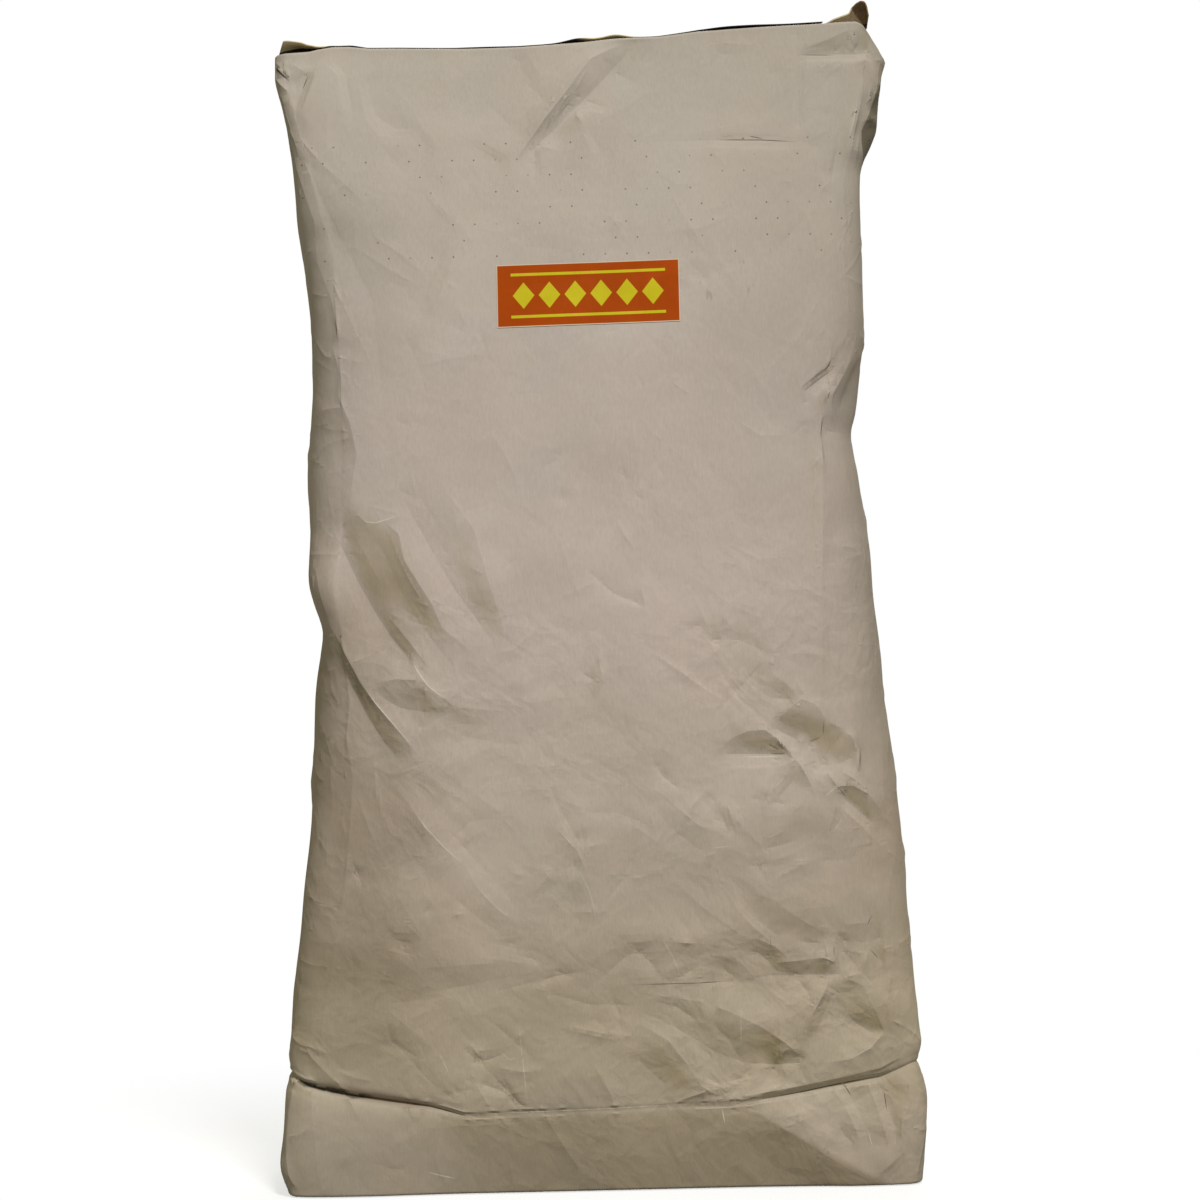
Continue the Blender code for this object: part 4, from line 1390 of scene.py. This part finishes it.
def scuffs_group():
    """Short upright scratches: noise stretched upwards, of which only the peaks are kept."""
    group, given, result = new_group("scuffs", ("Scale", "Amount"), ("Mask",))
    place = object_place(group)
    streaks = noise(group, mapped(group, place, Scale=(3.2, 3.2, 0.55)), given["Scale"], 2.0, 0.6)
    patches = noise(group, place, times(group, given["Scale"], 0.22), 1.0)
    peaks = ramped(group, streaks, 0.63, 0.72)
    mask = times(group, peaks, ramped(group, patches, 0.48, 0.62), given["Amount"])
    group.links.new(mask, result["Mask"])
    return group


def use_group(tree, group, **values):
    """The outputs of a group placed in a material, with its own values."""
    made = tree.nodes.new("ShaderNodeGroup")
    made.node_tree = group
    for name, value in values.items():
        made.inputs[name.replace("_", " ")].default_value = value
    return made.outputs


def new_material(name, roughness, specular=0.35):
    """A material, its node tree and its shader."""
    material = bpy.data.materials.new(name)
    material.use_nodes = True
    shader = material.node_tree.nodes["Principled BSDF"]
    shader.inputs["Roughness"].default_value = roughness
    shader.inputs["Specular IOR Level"].default_value = specular
    return material, material.node_tree, shader


def finish_paper(tree, shader, colour, height, strength, distance):
    """Gives the shader its colour and the bump of its height."""
    tree.links.new(colour, shader.inputs["Base Color"])
    pairs = (("Strength", strength), ("Distance", distance), ("Height", height))
    tree.links.new(node(tree, "ShaderNodeBump", pairs).outputs[0], shader.inputs["Normal"])


def by_height(tree, stops):
    """A colour that changes with height: stops are (height in metres, colour) pairs."""
    ramp = node(tree, "ShaderNodeValToRGB", ((0, place_parts(tree)["Z"]),))
    ramp.color_ramp.interpolation = "B_SPLINE"
    ends = ramp.color_ramp.elements
    for stop, (height, colour) in zip((ends[0], ends[1]), (stops[0], stops[-1])):
        stop.position, stop.color = height, (*colour, 1)
    for height, colour in stops[1:-1]:
        ends.new(height).color = (*colour, 1)
    return ramp.outputs[0]


def painted_shade(tree, colour, cloud):
    """The colour with painted shade: darker low on both flanks, at the middle of the foot and at the
    right.
    """
    flanks = calc(tree, "MAXIMUM", region(tree, FLANK_SHADE_LEFT_AT), region(tree, FLANK_SHADE_RIGHT_AT))
    flanks = times(tree, flanks, ramped(tree, cloud, 0.3, 0.7, 0.75, 1.15))
    parts = place_parts(tree)
    diagonal = plus(tree, parts["X"], times(tree, parts["Z"], 1.72))
    foot = times(tree, ramped(tree, diagonal, 0.234, 0.222), region(tree, FOOT_SHADE_AT))
    colour = tinted(tree, colour, FLANK_SHADE, flanks)
    colour = tinted(tree, colour, FOOT_SHADE, foot)
    return tinted(tree, colour, RIGHT_SHADE, region(tree, RIGHT_SHADE_AT))


def drawn_line(tree, colour, tone, name, tint, width):
    """The colour with one kind of drawn line over it.

    The line is as wide as its width times how far inside its ends the place is, with a
    fifth of the width left at the very ends, and the cloudy tone makes it uneven.
    """
    part = stored(tree, name + "_part")
    thin = times(tree, plus(tree, part, 0.25), width / 1.25)
    away = calc(tree, "DIVIDE", size_of(tree, stored(tree, name)), thin)
    uneven = ramped(tree, tone, 0.3, 0.6, 0.35, 1.0)
    return mixed(tree, times(tree, ramped(tree, away, 1.0, 0.35), uneven, part), colour, tint)


def kraft_material(name, grain, crumple, holes, scuffs):
    """Kraft paper: darker towards the foot and on the flanks as painted shade, pale on ridges as
    painted highlight and partly wear, and dark in the valleys as painted shade.
    """
    material, tree, shader = new_material(name, 0.72)
    paper = use_group(tree, grain, Cloud_Scale=7.0, Fibre_Scale=FIBRE_SCALE)
    colour = by_height(tree, KRAFT_AND_SHADE_BY_HEIGHT)
    dark, light = (mixed(tree, 1.0, colour, tint, "MULTIPLY") for tint in (CLOUD_DARK, CLOUD_LIGHT))
    colour = toned(tree, paper, dark, light)
    colour = tinted(tree, colour, WARM, ramped(tree, paper["Tint"], 0.4, 0.6))
    colour = painted_shade(tree, colour, paper["Tint"])
    patchy = ramped(tree, noise(tree, object_place(tree), 26.0, 3.0), 0.3, 0.7, 0.65, 1.1)
    turned = times(tree, ramped(tree, stored(tree, "turned"), 0.03, 0.42), patchy)
    colour = tinted(tree, colour, TURNED_SHADE, turned)
    bend = stored(tree, "bend")
    # Painted highlight, partly wear, on sharp ridges, and painted shade in the valleys.
    colour = mixed(tree, ramped(tree, bend, 50.0, 420.0, 0.0, 0.5), colour, WORN_RIDGE_HIGHLIGHT)
    valley_shade = ramped(tree, times(tree, bend, -1.0), 60.0, 500.0, 0.0, 0.55)
    colour = mixed(tree, valley_shade, colour, VALLEY_SHADE)
    # Painted shadow inside the folded pocket at the top right.
    pocket_shadow = ramped(tree, stored(tree, "pocket"), 0.0002, 0.0012)
    colour = mixed(tree, times(tree, pocket_shadow, region(tree, POCKET_SHADOW_AT)), colour, POCKET_SHADOW)
    for look in LINE_LOOKS:
        colour = drawn_line(tree, colour, paper["Tone"], *look)
    pricked = use_group(tree, holes, Pitch=0.0172, Row_Pitch=0.0130, Radius=0.0011)["Mask"]
    colour = mixed(tree, times(tree, pricked, region(tree, NEEDLE_HOLES_AT)), colour, NEEDLE_HOLE)
    scratched = use_group(tree, scuffs, Scale=90.0, Amount=0.8)["Mask"]
    colour = mixed(tree, times(tree, scratched, region(tree, SCUFFS_AT)), colour, SCUFF)
    finish_paper(tree, shader, colour, sack_relief(tree, paper["Height"], bend, crumple), 1.0, 0.001)
    return material


def sack_relief(tree, grain, bend, crumple):
    """Fine relief in millimetres: grain, small facets and the sharp edge of each fold.

    The edge is a parabola's arm on both sides of the crease line, as steep as the fold
    that the mesh rounds off, so that the two together turn sharply.
    """
    patches = ramped(tree, noise(tree, object_place(tree), 5.0), 0.36, 0.62, 0.35, 1.0)
    handled = times(tree, region(tree, HANDLED_AT), patches)
    facets = use_group(tree, crumple, Facet_Size=0.024, Slope=0.040)["Height"]
    away = size_of(tree, stored(tree, "crease_line"))
    arm = calc(tree, "SUBTRACT", 1.0, calc(tree, "DIVIDE", away, CRISP_REACH), clamp=True)
    sharp = calc(tree, "MINIMUM", calc(tree, "MAXIMUM", bend, -35.0), 160.0)
    edge = times(tree, sharp, CRISP_EDGE, times(tree, arm, arm))
    return plus(tree, times(tree, grain, 0.15), times(tree, facets, handled), edge)


def bottom_strip_material(name, grain):
    """Plain kraft with the same grain."""
    material, tree, shader = new_material(name, 0.8)
    paper = use_group(tree, grain, Cloud_Scale=14.0, Fibre_Scale=FIBRE_SCALE)
    finish_paper(tree, shader, toned(tree, paper, *BOTTOM_STRIP), paper["Height"], 0.30, 0.0005)
    return material


def loose_strip_material(name, grain, crumple):
    """The top strip: painted light below where it curls or lifts, and painted deep shade elsewhere
    below.
    """
    material, tree, shader = new_material(name, 0.8)
    paper = use_group(tree, grain, Cloud_Scale=14.0, Fibre_Scale=FIBRE_SCALE)
    parts = place_parts(tree)
    inward = plus(tree, parts["Y"], times(tree, parts["X"], 0.862))
    curled = times(tree, ramped(tree, inward, -0.2508, -0.2535), region(tree, CURLED_AT))
    pale = calc(tree, "MAXIMUM", curled, region(tree, LIFTED_AT))
    below = mixed(tree, pale, DEEP_SHADE, TOP_STRIP_LIT_BELOW)
    under = ramped(tree, stored(tree, "under"), 0.0, 0.3)
    colour = mixed(tree, under, toned(tree, paper, *TOP_STRIP), below)
    facets = use_group(tree, crumple, Facet_Size=0.040, Slope=0.030)["Height"]
    relief = plus(tree, times(tree, paper["Height"], 0.15), facets)
    finish_paper(tree, shader, colour, relief, 1.0, 0.001)
    return material


def ear_material(name, grain):
    """The sleeve's brown inner paper, its dark partly painted shade, pale with painted light where the
    ear turns its outer side to the front, and in painted deep shade where it lies close over the top.
    """
    material, tree, shader = new_material(name, 0.8)
    paper = use_group(tree, grain, Cloud_Scale=60.0, Fibre_Scale=FIBRE_SCALE)
    parts = place_parts(tree)
    pale, brown, upper = (
        toned(tree, paper, *pair, 0.35, 0.65) for pair in (EAR_LIT, EAR_BROWN_SHADED, EAR_UPPER)
    )
    ragged = plus(tree, parts["X"], parts["Z"], times(tree, paper["Tone"], 0.006))
    below = mixed(tree, ramped(tree, ragged, 1.1680, 1.1700), pale, brown)
    above_top = minus(tree, parts["Z"], times(tree, parts["X"], TOP_CLIMB))
    below = mixed(tree, ramped(tree, above_top, 0.9285, 0.9275), below, DEEP_SHADE)
    colour = mixed(tree, ramped(tree, stored(tree, "under"), 0.0, 0.3), upper, below)
    finish_paper(tree, shader, colour, paper["Height"], 0.30, 0.0005)
    return material


def label_material(name, grain):
    """Orange print with two thin yellow lines and a row of yellow lozenges between them.

    A lozenge is where the distances from its middle, across and up, as shares of its half
    width and half height, add up to less than one.
    """
    material, tree, shader = new_material(name, 0.55, specular=0.05)
    paper = use_group(tree, grain, Cloud_Scale=30.0, Fibre_Scale=FIBRE_SCALE)
    place = node(tree, "ShaderNodeUVMap", uv_map="print").outputs[0]
    parts = node(tree, "ShaderNodeSeparateXYZ", ((0, place),)).outputs
    across = times(tree, parts["X"], LABEL_WIDE)
    from_centre = size_of(tree, minus(tree, across, LABEL_WIDE / 2))
    from_middle = size_of(tree, times(tree, minus(tree, parts["Y"], 0.5), LABEL_TALL))
    from_left = minus(tree, across, LABEL_WIDE / 2 - 3 * LOZENGE_PITCH)
    in_cell = minus(tree, calc(tree, "FRACT", calc(tree, "DIVIDE", from_left, LOZENGE_PITCH)), 0.5)
    sideways = times(tree, size_of(tree, in_cell), LOZENGE_PITCH / LOZENGE_HALF_WIDE)
    lozenge = plus(tree, sideways, calc(tree, "DIVIDE", from_middle, LOZENGE_HALF_TALL))
    line = ramped(tree, size_of(tree, minus(tree, from_middle, LABEL_LINE_AT)), *LABEL_LINE_EDGE)
    pattern = calc(tree, "MAXIMUM", ramped(tree, lozenge, 1.04, 0.98), line)
    pattern = times(tree, pattern, ramped(tree, from_centre, *LABEL_PRINT_END))
    orange, yellow = (toned(tree, paper, *pair) for pair in (LABEL_ORANGE, LABEL_YELLOW))
    colour = mixed(tree, pattern, orange, yellow)
    edges = [
        times(tree, minus(tree, half, away), 1000.0)
        for half, away in ((LABEL_WIDE / 2, from_centre), (LABEL_TALL / 2, from_middle))
    ]
    colour = mixed(tree, ramped(tree, calc(tree, "MINIMUM", *edges), 0.9, 0.5), colour, LABEL_RIM)
    finish_paper(tree, shader, colour, paper["Height"], 0.15, 0.0004)
    return material


def dress(piece, material):
    """Gives a piece its one material."""
    piece.data.materials.clear()
    piece.data.materials.append(material)


# The stage

FLOOR_RADIUS = 9.0
FLOOR_LIT, FLOOR_SEEN = (0.35, 0.35, 0.35, 1), (0.90, 0.90, 0.90, 1)
FLOOR_FADE = (0.25, 0.9, 0.70, 1.0)  # metres from the middle, and how see-through it is there
WHITE, FILL_TINT = (1, 1, 1, 1), (1.0, 0.94, 0.50, 1)
FILL_STRENGTH = 0.27

# A high far lamp in front, and a soft weak one straight behind for the back wall, as name,
# place, size and watts.
LAMPS = (
    ("key_upper_right", (1.7, -5.4, 7.0), 1.3, 810.0),
    ("soft_behind", (0.9, 5.4, 3.8), 2.6, 230.0),
)
LAMP_AIM = Vector((0.0, 0.0, 0.5))


def make_floor():
    """A pale floor that fades into the white surroundings away from the sack."""
    bpy.ops.mesh.primitive_circle_add(vertices=96, radius=FLOOR_RADIUS, fill_type="NGON")
    floor = bpy.context.object
    floor.name = "floor"
    material, tree, shader = new_material("studio_floor", 0.9)
    away = node(tree, "ShaderNodeVectorMath", ((0, object_place(tree)),), operation="LENGTH")
    seen = node(tree, "ShaderNodeLightPath").outputs["Is Camera Ray"]
    tree.links.new(mixed(tree, seen, FLOOR_LIT, FLOOR_SEEN), shader.inputs["Base Color"])
    gone = times(tree, seen, ramped(tree, away.outputs["Value"], *FLOOR_FADE))
    clear = node(tree, "ShaderNodeBsdfTransparent").outputs[0]
    pairs = ((0, gone), (1, shader.outputs[0]), (2, clear))
    blend = node(tree, "ShaderNodeMixShader", pairs).outputs[0]
    tree.links.new(blend, tree.nodes["Material Output"].inputs["Surface"])
    dress(floor, material)


def make_world():
    """White where the camera sees it, and a softer, warmer light on the sack."""
    world = bpy.data.worlds.new("studio")
    bpy.context.scene.world = world
    world.use_nodes = True
    tree = world.node_tree
    seen = node(tree, "ShaderNodeLightPath").outputs["Is Camera Ray"]
    background = tree.nodes["Background"]
    tree.links.new(mixed(tree, seen, FILL_TINT, WHITE), background.inputs["Color"])
    strength = ramped(tree, seen, 0, 1, FILL_STRENGTH, 1.0)
    tree.links.new(strength, background.inputs["Strength"])


def make_lamps():
    """Square lamps, each turned to face the sack's middle."""
    for name, place, size, power in LAMPS:
        light = bpy.data.lights.new(name, "AREA")
        light.shape = "RECTANGLE"
        light.size = size
        light.size_y = size
        light.energy = power
        lamp = bpy.data.objects.new(name, light)
        bpy.context.scene.collection.objects.link(lamp)
        lamp.location = place
        lamp.rotation_euler = (LAMP_AIM - Vector(place)).to_track_quat("-Z", "Y").to_euler()


def make_camera():
    """The photograph's camera: level with the sack's middle, and tilted as it was."""
    camera = bpy.data.cameras.new("camera")
    camera.sensor_width = SENSOR
    camera.lens = LENS
    view = bpy.data.objects.new("camera", camera)
    bpy.context.scene.collection.objects.link(view)
    view.location = CAMERA_AT
    view.rotation_mode = "XYZ"
    view.rotation_euler = (math.pi / 2, PHOTO_TILT, 0)
    bpy.context.scene.camera = view


def main():
    """Makes the camera, the sack and its pieces, and the stage."""
    make_camera()
    sack, walls = make_sack()
    grain = paper_grain_group()
    crumple = crumple_group()
    dress(sack, kraft_material("sack_kraft", grain, crumple, needle_holes_group(), scuffs_group()))
    dress(make_top_patch(), loose_strip_material("loose_strip_kraft", grain, crumple))
    dress(make_bottom_patch(), bottom_strip_material("strip_kraft", grain))
    dress(make_sleeve(), ear_material("sleeve_brown", grain))
    dress(make_label(walls), label_material("label_orange_print", grain))
    make_floor()
    make_world()
    make_lamps()
    bpy.context.scene.view_settings.view_transform = "Standard"


main()
